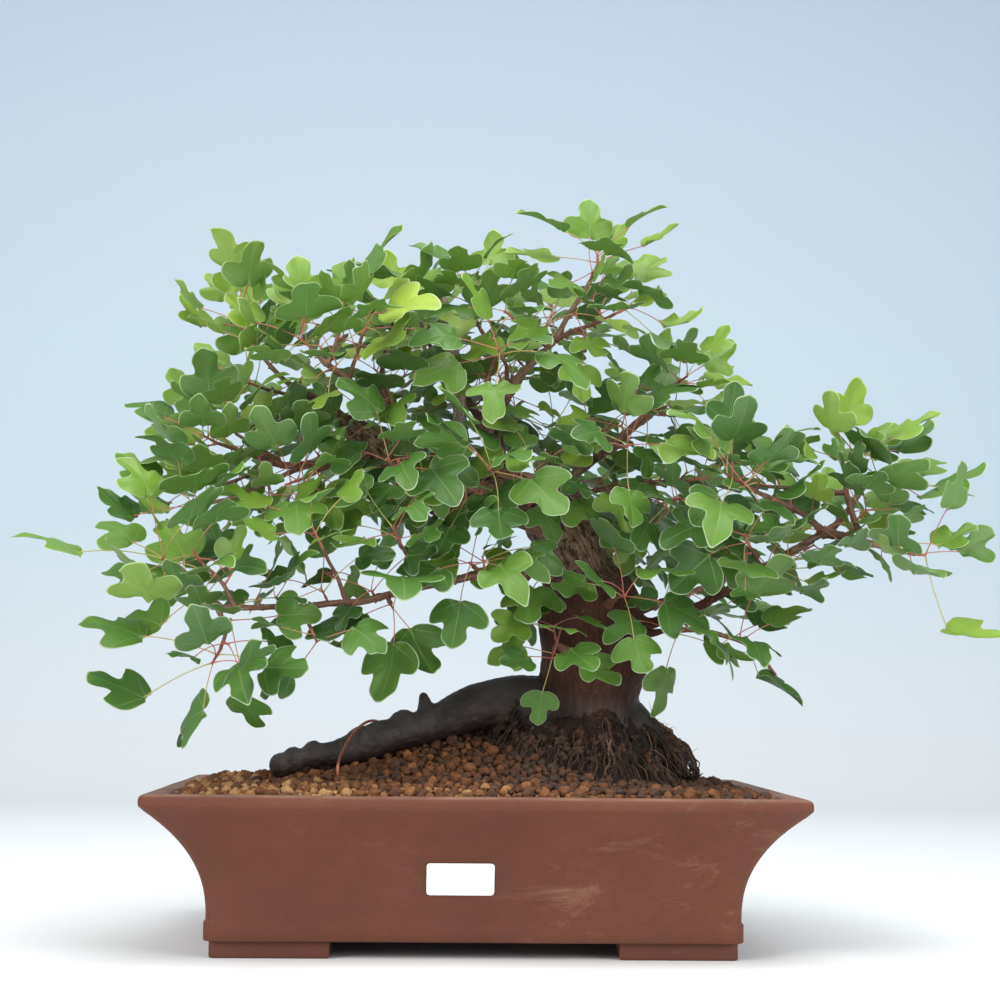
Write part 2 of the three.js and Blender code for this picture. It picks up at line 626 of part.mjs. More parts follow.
// A leaf is its stalk's two ends, its two directions in the blade, and its size.
function leafFrame(base, stemWay, shoot, leaf, size, stalkShare, attempt) {
  const [drawA, drawB, drawC, drawD] = draws(shoot, leaf);
  const pair = Math.floor(leaf / 2);
  const swing = [0, 0.35, -0.35, 0.7, -0.7, 1.05, -1.05, 0, 0][attempt % 9];
  const lift = [0, 0, 0, 0.3, -0.35, 0.4, 0.2, -0.5, -0.8][attempt % 9];
  const stretch = [1, 0.7, 1.25, 0.5][Math.floor(attempt / 9)];
  const turn = (leaf % 2) * Math.PI + pair * Math.PI / 2 + (drawA - 0.5) * 0.7 + swing;
  const up = new THREE.Vector3(0, 0, 1);
  const flat = new THREE.Vector3(1, 0, 0);
  const sideA = new THREE.Vector3().crossVectors(stemWay, Math.abs(stemWay.z) > 0.9 ? flat : up).normalize();
  const sideB = new THREE.Vector3().crossVectors(stemWay, sideA);
  const reach = 0.15 + 0.25 * pair;
  const way = stemWay.clone().multiplyScalar(reach);
  way.addScaledVector(sideA, Math.cos(turn)).addScaledVector(sideB, Math.sin(turn));
  way.z += 0.1 + lift;
  way.normalize();
  const length = stalkLength * stalkShare * stretch * (0.75 + 0.5 * drawB);
  const start = base.clone();
  const end = start.clone().addScaledVector(way, length);
  const outward = new THREE.Vector3(end.x - 30, end.y - 10, 0.5 * (end.z - 190)).normalize();
  const midrib = way.clone().multiplyScalar(0.8).addScaledVector(outward, 0.2);
  midrib.z -= 0.35 + 0.45 * drawC;
  midrib.addScaledVector(way, Math.max(0, 0.35 - midrib.dot(way))).normalize();
  const face = outward.clone().multiplyScalar(0.75);
  face.x += (drawD - 0.5) * 0.7;
  face.y += (drawA - 0.5) * 0.5 - 0.25;
  face.z += 1;
  face.addScaledVector(midrib, -face.dot(midrib)).normalize();
  const broad = new THREE.Vector3().crossVectors(midrib, face);
  const blade = size * (0.82 + 0.36 * drawC);
  return { start, end, midrib, broad, face, blade };
}

function leafPoint(frame, x, y) {
  const point = frame.end.clone();
  point.addScaledVector(frame.broad, x * frame.blade * leafWidth / 2);
  point.addScaledVector(frame.midrib, y * frame.blade * leafLength);
  return point;
}

function leafTaken(frame) {
  const points = leafSamples.map(([x, y]) => {
    const point = leafPoint(frame, x, y);
    return [point.x, point.y, point.z, leafClearance / 2];
  });
  const count = Math.ceil(frame.start.distanceTo(frame.end) / 6);
  for (let step = 1; step < count; step += 1) {
    const point = frame.start.clone().lerp(frame.end, step / count);
    points.push([point.x, point.y, point.z, step < 2 ? 0 : 1.5]);
  }
  return points;
}

// Stalk and blade in one closed solid: a three-sided stalk that runs into a sharp-edged blade.
function leafSolid(frame) {
  const positions = [];
  const put = (point) => positions.push(point.x, point.y, point.z + potHeight);
  const stalkRing = (middle, broad, face) => {
    const upper = middle.clone().addScaledVector(face, 0.3 * stalkWidth);
    put(upper.clone().addScaledVector(broad, -stalkWidth / 2));
    put(upper.clone().addScaledVector(broad, stalkWidth / 2));
    put(middle.clone().addScaledVector(face, -0.55 * stalkWidth));
  };
  const way = frame.end.clone().sub(frame.start).normalize();
  const across = frame.broad.clone().addScaledVector(way, -way.dot(frame.broad)).normalize();
  stalkRing(frame.start, across, new THREE.Vector3().crossVectors(across, way));
  stalkRing(frame.end, frame.broad, frame.face);
  for (const [x, y] of leafOutline) put(leafPoint(frame, x, y));
  const middle = leafPoint(frame, 0, 0.36);
  put(middle.clone().addScaledVector(frame.face, leafThick / 2));
  put(middle.clone().addScaledVector(frame.face, -leafThick / 2));
  const last = 6 + leafOutline.length;
  const faces = [0, 2, 1, 0, 1, 4, 0, 4, 3, 1, 2, 5, 1, 5, 4, 2, 0, 3, 2, 3, 5];
  const rim = [3];
  for (let index = 6; index < last; index += 1) rim.push(index);
  rim.push(4);
  for (let index = 0; index + 1 < rim.length; index += 1) {
    faces.push(last, rim[index + 1], rim[index]);
    faces.push(last + 1, rim[index], rim[index + 1]);
  }
  faces.push(last, 3, 4);
  faces.push(last + 1, 5, 3, last + 1, 4, 5);
  return solid(positions, faces);
}

function shoot(index) {
  const [start, end, pairs, size, stalkShare] = shoots[index];
  const root = new THREE.Vector3(...start);
  const tip = new THREE.Vector3(...end);
  const way = tip.clone().sub(root).normalize();
  const base = root.clone().addScaledVector(way, gap + 0.6 * stemRadius);
  const stem = limb([[...base.toArray(), 0.6 * stemRadius], [...tip.toArray(), stemRadius]], 4, 1);
  const pieces = [stem];
  const own = [];
  for (let leaf = 0; leaf < 2 * pairs; leaf += 1) {
    const pair = Math.floor(leaf / 2);
    const node = base.clone().lerp(tip, 0.3 + 0.66 * pair / Math.max(1, pairs - 1));
    for (let attempt = 0; attempt < 36; attempt += 1) {
      const shrink = attempt < 27 ? 1 : 0.8;
      const frame = leafFrame(node, way, index, leaf, size * shrink, stalkShare, attempt);
      const points = leafTaken(frame);
      if (isFree(points, taken) && isFree(points, own)) {
        own.push(...points);
        pieces.push(leafSolid(frame));
        break;
      }
    }
  }
  taken.push(...own);
  const name = `shoot_${String(index + 1).padStart(2, '0')}`;
  return toMesh(unite(pieces), name, finish(0x4f7f3a, 0.55));
}

// ---------------------------------------------------------------- assembly

const tree = new THREE.Group();
tree.add(pot());
tree.add(drainScreen(-1, 'drain_screen_left'));
tree.add(drainScreen(1, 'drain_screen_right'));
tree.add(soil());
tree.add(toMesh(woodShape(0), 'wood', finish(0x6b4f3c, 0.9)));
tree.add(toMesh(wireShape(0), 'tie_wire', finish(0xa8623f, 0.4, 0.8)));
tree.add(label());

for (const run of [trunk, bend, surfaceRoot, ...roots, ...limbs]) takeLimb(run);
for (const [start, end] of shoots) takeLimb([[...start, 0], [...end, 0]]);
shoots.forEach((_, index) => tree.add(shoot(index)));

const box = new THREE.Box3().setFromObject(tree);
tree.position.set(-(box.min.x + box.max.x) / 2, -(box.min.y + box.max.y) / 2, -box.min.z);

const bonsai = new THREE.Group();
bonsai.add(tree);

export default bonsai;
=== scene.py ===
import math
import random

import bpy
import numpy as np
from mathutils import Matrix, Vector, noise


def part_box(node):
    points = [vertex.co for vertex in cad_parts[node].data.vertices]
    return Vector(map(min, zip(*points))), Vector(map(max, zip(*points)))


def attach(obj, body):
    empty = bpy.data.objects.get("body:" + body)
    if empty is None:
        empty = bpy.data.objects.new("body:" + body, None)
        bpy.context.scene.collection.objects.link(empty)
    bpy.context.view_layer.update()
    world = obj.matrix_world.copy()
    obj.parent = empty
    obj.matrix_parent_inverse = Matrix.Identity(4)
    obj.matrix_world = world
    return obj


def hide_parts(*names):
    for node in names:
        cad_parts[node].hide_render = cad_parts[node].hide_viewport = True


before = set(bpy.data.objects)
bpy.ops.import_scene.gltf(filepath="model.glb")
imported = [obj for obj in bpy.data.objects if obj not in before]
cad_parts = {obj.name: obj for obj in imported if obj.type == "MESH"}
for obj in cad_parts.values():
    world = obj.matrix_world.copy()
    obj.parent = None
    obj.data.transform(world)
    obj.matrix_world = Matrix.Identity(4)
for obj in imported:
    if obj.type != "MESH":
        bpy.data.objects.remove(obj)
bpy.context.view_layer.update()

# Camera. It stands a little over a metre in front of the pot at the height of the soil, looks up
# slightly into the crown and a touch to the right. Distances are metres from the pot's middle.
mm = 0.001
pot_low, pot_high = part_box("pot")
pot_x = (pot_low.x + pot_high.x) / 2
pot_y = (pot_low.y + pot_high.y) / 2
rim = pot_high.z

camera_place = Vector((pot_x - 36 * mm, pot_y - 1352 * mm, 170.5 * mm))
camera_yaw = math.radians(2.27)
camera_pitch = math.radians(5.95)
camera_roll = math.radians(0.634)
forward = Vector((
    math.sin(camera_yaw) * math.cos(camera_pitch),
    math.cos(camera_yaw) * math.cos(camera_pitch),
    math.sin(camera_pitch),
))
level_right = Vector((math.cos(camera_yaw), -math.sin(camera_yaw), 0))
level_up = level_right.cross(forward)
right = level_right * math.cos(camera_roll) + level_up * math.sin(camera_roll)
up = level_up * math.cos(camera_roll) - level_right * math.sin(camera_roll)
camera_data = bpy.data.cameras.new("camera")
camera_data.lens = 67.54
camera_data.sensor_width = 36
camera = bpy.data.objects.new("camera", camera_data)
camera.matrix_world = Matrix((
    (right.x, up.x, -forward.x, camera_place.x),
    (right.y, up.y, -forward.y, camera_place.y),
    (right.z, up.z, -forward.z, camera_place.z),
    (0, 0, 0, 1),
))
bpy.context.scene.collection.objects.link(camera)
bpy.context.scene.camera = camera


# Studio: a pale floor that curves up into a backdrop, and large soft lamps above, left and right.
def add_object(name, mesh, materials, body="root"):
    obj = bpy.data.objects.new(name, mesh)
    bpy.context.scene.collection.objects.link(obj)
    for material in materials:
        obj.data.materials.append(material)
    if body:
        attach(obj, body)
    return obj


def mesh_from(name, points, faces, smooth=True, slots=None):
    mesh = bpy.data.meshes.new(name)
    mesh.from_pydata([tuple(p) for p in points], [], [tuple(f) for f in faces])
    mesh.polygons.foreach_set("use_smooth", [smooth] * len(mesh.polygons))
    if slots is not None:
        mesh.polygons.foreach_set("material_index", slots)
    mesh.update()
    return mesh


class Nodes:
    """A short way to write a material's nodes: each call adds one and returns its first output."""

    def __init__(self, name, roughness=0.6, metallic=0.0):
        self.material = bpy.data.materials.new(name)
        self.material.use_nodes = True
        self.tree = self.material.node_tree
        self.shader = self.tree.nodes["Principled BSDF"]
        self.output = self.tree.nodes["Material Output"]
        self.shader.inputs["Roughness"].default_value = roughness
        self.shader.inputs["Metallic"].default_value = metallic

    def put(self, value, socket):
        if isinstance(value, bpy.types.NodeSocket):
            self.tree.links.new(value, socket)
        elif isinstance(value, (tuple, list)) and len(value) == 3 and socket.type == "RGBA":
            socket.default_value = (*value, 1)
        else:
            socket.default_value = value

    def node(self, kind, settings=None, **inputs):
        made = self.tree.nodes.new(kind)
        for key, value in (settings or {}).items():
            setattr(made, key, value)
        for key, value in inputs.items():
            self.put(value, made.inputs[key.replace("_", " ")])
        return made

    def place(self):
        return self.node("ShaderNodeNewGeometry").outputs["Position"]

    def attribute(self, name, output="Fac"):
        return self.node("ShaderNodeAttribute", {"attribute_name": name}).outputs[output]

    def noise(self, scale, vector=None, detail=3.0, roughness=0.55, distortion=0.0):
        made = self.node(
            "ShaderNodeTexNoise", Scale=scale, Detail=detail, Roughness=roughness, Distortion=distortion
        )
        self.tree.links.new(vector or self.place(), made.inputs["Vector"])
        return made.outputs["Fac"]

    def cells(self, scale, vector=None, feature="F1"):
        made = self.node("ShaderNodeTexVoronoi", {"feature": feature}, Scale=scale)
        self.tree.links.new(vector or self.place(), made.inputs["Vector"])
        return made

    def math(self, operation, a, b=0.0, clamp=False):
        made = self.tree.nodes.new("ShaderNodeMath")
        made.operation = operation
        made.use_clamp = clamp
        self.put(a, made.inputs[0])
        self.put(b, made.inputs[1])
        return made.outputs[0]

    def span(self, value, low, high, to_low=0.0, to_high=1.0):
        made = self.node("ShaderNodeMapRange", {"clamp": True})
        for key, item in (("Value", value), ("From Min", low), ("From Max", high)):
            self.put(item, made.inputs[key])
        self.put(to_low, made.inputs["To Min"])
        self.put(to_high, made.inputs["To Max"])
        return made.outputs["Result"]

    def ramp(self, value, stops):
        made = self.tree.nodes.new("ShaderNodeValToRGB")
        ramp = made.color_ramp
        while len(ramp.elements) < len(stops):
            ramp.elements.new(0.5)
        for element, (place, color) in zip(ramp.elements, stops):
            element.position = place
            element.color = (*color, 1)
        self.put(value, made.inputs["Fac"])
        return made.outputs["Color"]

    def mix(self, share, a, b, blend="MIX"):
        made = self.tree.nodes.new("ShaderNodeMix")
        made.data_type = "RGBA"
        made.blend_type = blend
        made.clamp_factor = True
        self.put(share, made.inputs["Factor"])
        self.put(a, made.inputs["A"])
        self.put(b, made.inputs["B"])
        return made.outputs["Result"]

    def stretch(self, vector, factors):
        made = self.node("ShaderNodeVectorMath", {"operation": "MULTIPLY"})
        self.put(vector, made.inputs[0])
        made.inputs[1].default_value = factors
        return made.outputs["Vector"]

    def finish(self, color=None, roughness=None, bumps=()):
        if color is not None:
            self.put(color, self.shader.inputs["Base Color"])
        if roughness is not None:
            self.put(roughness, self.shader.inputs["Roughness"])
        normal = None
        for height, distance, strength in bumps:
            made = self.node("ShaderNodeBump", Strength=strength, Distance=distance)
            self.put(height, made.inputs["Height"])
            if normal is not None:
                self.tree.links.new(normal, made.inputs["Normal"])
            normal = made.outputs["Normal"]
        if normal is not None:
            self.tree.links.new(normal, self.shader.inputs["Normal"])
        return self.material


floor_half = 3.0
floor_back = 1.6
bend_radius = 0.9
wall_height = 3.0
profile = [(-floor_half, 0.0), (floor_back, 0.0)]
for step in range(1, 25):
    angle = math.pi / 2 * step / 24
    profile.append((
        floor_back + bend_radius * math.sin(angle),
        bend_radius * (1 - math.cos(angle)),
    ))
profile.append((floor_back + bend_radius, wall_height))
floor_points = []
for y, z in profile:
    floor_points += [(-floor_half, y, z), (floor_half, y, z)]
floor_faces = [(2 * i, 2 * i + 1, 2 * i + 3, 2 * i + 2) for i in range(len(profile) - 1)]
paper = Nodes("backdrop_paper", roughness=0.85)
paper_high = paper.node("ShaderNodeSeparateXYZ", Vector=paper.place()).outputs["Z"]
paper_color = paper.ramp(
    paper.span(paper_high, 0.0, 2.2),
    [(0.0, (0.86, 0.87, 0.86)), (0.25, (0.66, 0.78, 0.84)), (1.0, (0.60, 0.68, 0.80))],
)
floor = add_object(
    "floor", mesh_from("floor", floor_points, floor_faces), [paper.finish(color=paper_color)], body=None
)


def add_lamp(name, place, size, power, color):
    data = bpy.data.lights.new(name, "AREA")
    data.shape = "DISK"
    data.size = size
    data.energy = power
    data.color = color
    lamp = bpy.data.objects.new(name, data)
    lamp.location = place
    aim = Vector((pot_x, pot_y, 0.25)) - Vector(place)
    lamp.rotation_euler = aim.to_track_quat("-Z", "Y").to_euler()
    bpy.context.scene.collection.objects.link(lamp)


add_lamp("top_lamp", (0.1, -0.3, 1.9), 1.5, 30, (1.0, 0.99, 0.97))
add_lamp("left_lamp", (-1.5, -1.4, 1.1), 1.3, 30, (1.0, 0.98, 0.95))
add_lamp("right_lamp", (1.5, -1.3, 0.9), 1.3, 21, (0.95, 0.98, 1.0))
world = bpy.data.worlds.new("studio_air")
world.use_nodes = True
world.node_tree.nodes["Background"].inputs["Color"].default_value = (0.86, 0.91, 1.0, 1)
world.node_tree.nodes["Background"].inputs["Strength"].default_value = 0.55
bpy.context.scene.world = world
bpy.context.scene.view_settings.view_transform = "Standard"


# Pot: slab-built and press-moulded from brown stoneware and fired without a glaze. The wall turns
# out late into a flat-topped lip, a band runs round the foot, and four corner feet stand under it.
lip_overhang = 40 * mm
lip_edge = 8 * mm
lip_top = 17 * mm
lip_corner = 8 * mm
wall_thick = 9 * mm
floor_thick = 11 * mm
flare_power = 2.4
foot_height = 11 * mm
foot_reach = 78 * mm
foot_return = 58 * mm
foot_width = 30 * mm
foot_inset = 4 * mm
band_height = 12.5 * mm
band_proud = 1.2 * mm
body_corner = 10 * mm
drain_radius = 17 * mm
drain_spacing = 170 * mm
body_half_x = (pot_high.x - pot_low.x) / 2 - lip_overhang
body_half_y = (pot_high.y - pot_low.y) / 2 - lip_overhang
band_top = foot_height + band_height
lip_bottom = rim - lip_edge
floor_top = foot_height + floor_thick


def outline(offset, z, steps=9, side_steps=12):
    """The pot's outline grown by an offset, as points round it at one height."""
    half_x = body_half_x + offset
    half_y = body_half_y + offset
    radius = max(3 * mm, body_corner + (lip_corner - body_corner) * offset / lip_overhang)
    points = []
    for quarter, (side_x, side_y) in enumerate(((1, 1), (-1, 1), (-1, -1), (1, -1))):
        corner = []
        for step in range(steps + 1):
            angle = (quarter + step / steps) * math.pi / 2
            corner.append((
                side_x * (half_x - radius) + radius * math.cos(angle),
                side_y * (half_y - radius) + radius * math.sin(angle),
            ))
        if points:
            last = points[-1]
            for step in range(1, side_steps):
                share = step / side_steps
                points.append((
                    last[0] + (corner[0][0] - last[0]) * share,
                    last[1] + (corner[0][1] - last[1]) * share,
                ))
        points += corner
    last, first = points[-1], points[0]
    for step in range(1, side_steps):
        share = step / side_steps
        points.append((last[0] + (first[0] - last[0]) * share, last[1] + (first[1] - last[1]) * share))
    return [(pot_x + x, pot_y + y, z) for x, y in points]


def flare(z):
    share = (z - band_top) / (lip_bottom - band_top)
    return lip_overhang * max(0.0, share) ** flare_power


def skin(rings, close_ends=True):
    """Points and faces of a surface over rings of points, each ring with as many points."""
    sides = len(rings[0])
    points = [p for ring in rings for p in ring]
    faces = []
    for ring in range(len(rings) - 1):
        for side in range(sides):
            after = (side + 1) % sides
            a, b = ring * sides + side, ring * sides + after
            faces.append((a, b, b + sides, a + sides))
    if close_ends:
        faces.append(tuple(range(sides - 1, -1, -1)))
        faces.append(tuple((len(rings) - 1) * sides + side for side in range(sides)))
    return points, faces


outside = [
    (band_proud - 1.0 * mm, foot_height), (band_proud - 0.3 * mm, foot_height + 0.3 * mm),
    (band_proud, foot_height + 1.0 * mm), (band_proud, band_top - 1.0 * mm),
    (band_proud - 0.3 * mm, band_top - 0.2 * mm), (0.3 * mm, band_top + 0.3 * mm),
    (0.0, band_top + 0.9 * mm),
]
for step in range(1, 27):
    z = band_top + (lip_bottom - band_top) * step / 26
    outside.append((flare(z) - (0.8 * mm if step == 26 else 0), z))
outside += [
    (lip_overhang - 0.2 * mm, lip_bottom + 0.8 * mm), (lip_overhang, lip_bottom + 2.2 * mm),
    (lip_overhang, lip_bottom + 4.6 * mm), (lip_overhang - 0.5 * mm, lip_bottom + 6.2 * mm),
    (lip_overhang - 1.4 * mm, lip_bottom + 7.3 * mm), (lip_overhang - 3.0 * mm, rim - 0.1 * mm),
    (lip_overhang - 5.0 * mm, rim), (lip_overhang - lip_top + 3 * mm, rim),
    (lip_overhang - lip_top + 1.2 * mm, rim - 0.4 * mm), (lip_overhang - lip_top, rim - 1.6 * mm),
    (lip_overhang - lip_top - 1.2 * mm, rim - 4 * mm),
]
inside_top = lip_bottom - 6 * mm
for step in range(12, -1, -1):
    z = band_top + (inside_top - band_top) * step / 12
    outside.append((flare(z) - wall_thick * (1 + 0.25 * step / 12), z))
outside += [(-wall_thick - 1 * mm, floor_top + 1 * mm), (-wall_thick - 4 * mm, floor_top)]


def hand_made(points, amount):
    """Points pushed a little by smooth noise, as a hand-finished surface is."""
    moved = []
    for point in points:
        push = noise.noise_vector(Vector(point) * 11.0) + 0.4 * noise.noise_vector(Vector(point) * 37.0)
        moved.append(tuple(Vector(point) + push * amount))
    return moved


pot_points, pot_faces = skin([outline(offset, z) for offset, z in outside])
pot_mesh = mesh_from("pot_body", hand_made(pot_points, 0.35 * mm), pot_faces)

stoneware = Nodes("unglazed_stoneware", roughness=0.68)
spot = stoneware.place()
broad_shade = stoneware.noise(9.0, detail=4.0)
fine_shade = stoneware.noise(140.0, detail=5.0, roughness=0.7)
clay = stoneware.ramp(
    stoneware.math("ADD", stoneware.math("MULTIPLY", broad_shade, 0.6), stoneware.math("MULTIPLY", fine_shade, 0.4)),
    [(0.30, (0.080, 0.018, 0.007)), (0.52, (0.115, 0.028, 0.011)), (0.72, (0.154, 0.043, 0.018))],
)
specks = stoneware.cells(900.0)
speck_size = stoneware.span(specks.outputs["Distance"], 0.06, 0.16, 1.0, 0.0)
speck_chance = stoneware.span(stoneware.noise(260.0, detail=1.0), 0.60, 0.66)
clay = stoneware.mix(
    stoneware.math("MULTIPLY", stoneware.math("MULTIPLY", speck_size, speck_chance), 0.5),
    clay, (0.50, 0.36, 0.27),
)
smears = stoneware.noise(16.0, stoneware.stretch(spot, (1.0, 1.0, 2.2)), detail=6.0, roughness=0.72, distortion=0.6)
smear_place = stoneware.span(stoneware.noise(5.5, detail=1.0), 0.50, 0.64)
smear_share = stoneware.math("MULTIPLY", stoneware.span(smears, 0.56, 0.72), smear_place)
clay = stoneware.mix(stoneware.math("MULTIPLY", smear_share, 0.36), clay, (0.40, 0.25, 0.17))
face = stoneware.node("ShaderNodeSeparateXYZ", Vector=stoneware.node("ShaderNodeNewGeometry").outputs["Normal"])
height = stoneware.node("ShaderNodeSeparateXYZ", Vector=spot).outputs["Z"]
dusty = stoneware.math(
    "MULTIPLY", stoneware.span(face.outputs["Z"], 0.55, 0.95), stoneware.span(stoneware.noise(30.0), 0.35, 0.65, 0.35, 1.0)
)
clay = stoneware.mix(stoneware.math("MULTIPLY", dusty, 0.50), clay, (0.46, 0.27, 0.17))
# Painted shade: the clay is painted darker towards the bottom, near the floor.
floor_shade_share = stoneware.math("MULTIPLY", stoneware.span(height, 0.0, 0.014, 1.0, 0.0), stoneware.noise(70.0, detail=6.0, roughness=0.75))
clay = stoneware.mix(stoneware.math("MULTIPLY", floor_shade_share, 0.55), clay, (0.055, 0.026, 0.020))
stoneware_finish = stoneware.finish(
    color=clay,
    roughness=stoneware.span(fine_shade, 0.2, 0.8, 0.58, 0.80),
    bumps=[(fine_shade, 0.0006, 0.5), (specks.outputs["Distance"], 0.0003, 0.35), (smears, 0.0008, 0.3)],
)

limed = Nodes("limed_inner_wall", roughness=0.75)
lime = limed.noise(60.0, detail=6.0, roughness=0.7)
lime_color = limed.ramp(lime, [(0.32, (0.42, 0.36, 0.33)), (0.52, (0.62, 0.64, 0.67)), (0.70, (0.76, 0.80, 0.84))])
lime_finish = limed.finish(color=lime_color, bumps=[(lime, 0.0006, 0.5)])

pot = add_object("pot_body", pot_mesh, [stoneware_finish, lime_finish])
inner_start = len(outside) - 17
ring_sides = len(outline(0, 0))
slots = [0] * len(pot_mesh.polygons)
for polygon in pot_mesh.polygons:
    ring = polygon.index // ring_sides
    if inner_start <= ring < len(outside) - 1:
        slots[polygon.index] = 1
pot_mesh.polygons.foreach_set("material_index", slots)

for side in (-1, 1):
    bpy.ops.mesh.primitive_cylinder_add(
        vertices=48, radius=drain_radius, depth=60 * mm, location=(pot_x + side * drain_spacing / 2, pot_y, 0.02)
    )
    cutter = bpy.context.object
    cut = pot.modifiers.new("drain_hole", "BOOLEAN")
    cut.object = cutter
    cut.solver = "EXACT"
    bpy.context.view_layer.update()
    cut_mesh = bpy.data.meshes.new_from_object(pot.evaluated_get(bpy.context.evaluated_depsgraph_get()))
    pot.modifiers.clear()
    pot.data = cut_mesh
    bpy.data.objects.remove(cutter)

foot_rings = []
foot_edge = 4 * mm


def foot_outline(shrink):
    """One L-shaped foot seen from above, about its own outer corner at the origin."""
    reach, back, width = foot_reach - shrink, foot_return - shrink, foot_width - shrink
    points = [(-reach, -shrink), (-reach, -width), (-width, -width), (-width, -back), (-shrink, -back)]
    for step in range(6):
        angle = math.pi / 2 * step / 5
        points.append((
            -foot_edge + (foot_edge - shrink) * math.cos(angle),
            -foot_edge + (foot_edge - shrink) * math.sin(angle),
        ))
    return points


foot_points, foot_faces = [], []
for side_x in (-1, 1):
    for side_y in (-1, 1):
        corner_x = body_half_x + band_proud - foot_inset
        corner_y = body_half_y + band_proud - foot_inset
        rings = []
        for shrink, z in ((1.2 * mm, 0), (0.4 * mm, 0.4 * mm), (0, 1.4 * mm), (0, foot_height + 1 * mm)):
            ring = [
                (pot_x + side_x * (corner_x + x), pot_y + side_y * (corner_y + y), z)
                for x, y in foot_outline(shrink)
            ]
            rings.append(ring if side_x * side_y > 0 else ring[::-1])
        points, faces = skin(rings)
        foot_faces += [tuple(i + len(foot_points) for i in f) for f in faces]
        foot_points += points
foot_points = [(x, y, max(0, z)) for x, y, z in hand_made(foot_points, 0.3 * mm)]
feet = add_object("pot_feet", mesh_from("pot_feet", foot_points, foot_faces, smooth=False), [stoneware_finish])
for piece in (pot, feet):
    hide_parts("pot")


# Drain screens: moulded black plastic mesh laid over the two holes, inside the pot.
screen_plastic = Nodes("screen_plastic", roughness=0.5)
screen_grain = screen_plastic.noise(400.0)
screen_finish = screen_plastic.finish(
    color=screen_plastic.mix(screen_grain, (0.012, 0.014, 0.016), (0.035, 0.036, 0.036)),
    bumps=[(screen_grain, 0.0002, 0.4)],
)
for name in ("drain_screen_left", "drain_screen_right"):
    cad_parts[name].data.materials.clear()
    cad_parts[name].data.materials.append(screen_finish)


# Label: a plain white paper label with rounded corners, stuck to the front wall and left blank.
label_paper = Nodes("label_paper", roughness=0.55)
label_fibre = label_paper.noise(500.0, detail=6.0)
label_color = label_paper.ramp(label_fibre, [(0.3, (0.80, 0.80, 0.79)), (0.7, (0.90, 0.90, 0.89))])
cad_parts["label"].data.materials.clear()
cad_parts["label"].data.materials.append(label_paper.finish(color=label_color, bumps=[(label_fibre, 0.0001, 0.3)]))


# Wood: roots, trunk, limbs and twigs grew as one living piece. Each run below is the middle line of
# one stretch of it, as millimetres right, back and up from the pot's middle at the rim, and a radius.
trunk_run = [
    [84, 0, -22, 52], [84, 0, 10, 47], [81, 0, 36, 41], [82, 0, 66, 37.5], [86, 0, 100, 39.5],
    [84, 1, 128, 38], [79, 2, 143, 33], [72, 0, 152, 22],
]

bend_run = [
    [80, 2, 118, 26], [73, -3, 150, 25], [64, -5, 180, 22.5], [46, -4, 201, 21], [16, 0, 209, 20],
    [-18, 2, 208, 18], [-50, 4, 226, 14], [-82, 6, 250, 11], [-96, 6, 262, 8],
]

surface_root_run = [
    [84, 0, 42, 30], [44, -8, 58, 20], [6, -15, 56, 17], [-32, -20, 43, 12.5], [-65, -28, 34, 12],
    [-94, -36, 24, 9.5], [-113, -42, 21, 7.5], [-131, -46, 17, 5.5],
]

root_runs = [
    [[108, -6, 52, 17], [122, -14, 47, 8], [136, -23, 33, 5.5], [148, -31, 20, 4.5]],
    [[104, -20, 30, 14], [124, -44, 10, 8], [138, -62, -8, 5]],
    [[76, -26, 34, 15], [66, -56, 12, 9], [58, -80, -8, 5]],
    [[112, 16, 40, 15], [142, 34, 14, 8], [160, 44, -6, 5]],
    [[86, 26, 40, 16], [92, 62, 14, 9], [96, 88, -8, 5]],
    [[56, 20, 36, 15], [22, 48, 16, 9], [-4, 68, -6, 5]],
    [[-32, -20, 44, 9], [-34, -20, 58, 5.5], [-36, -20, 65, 3.5]],
]

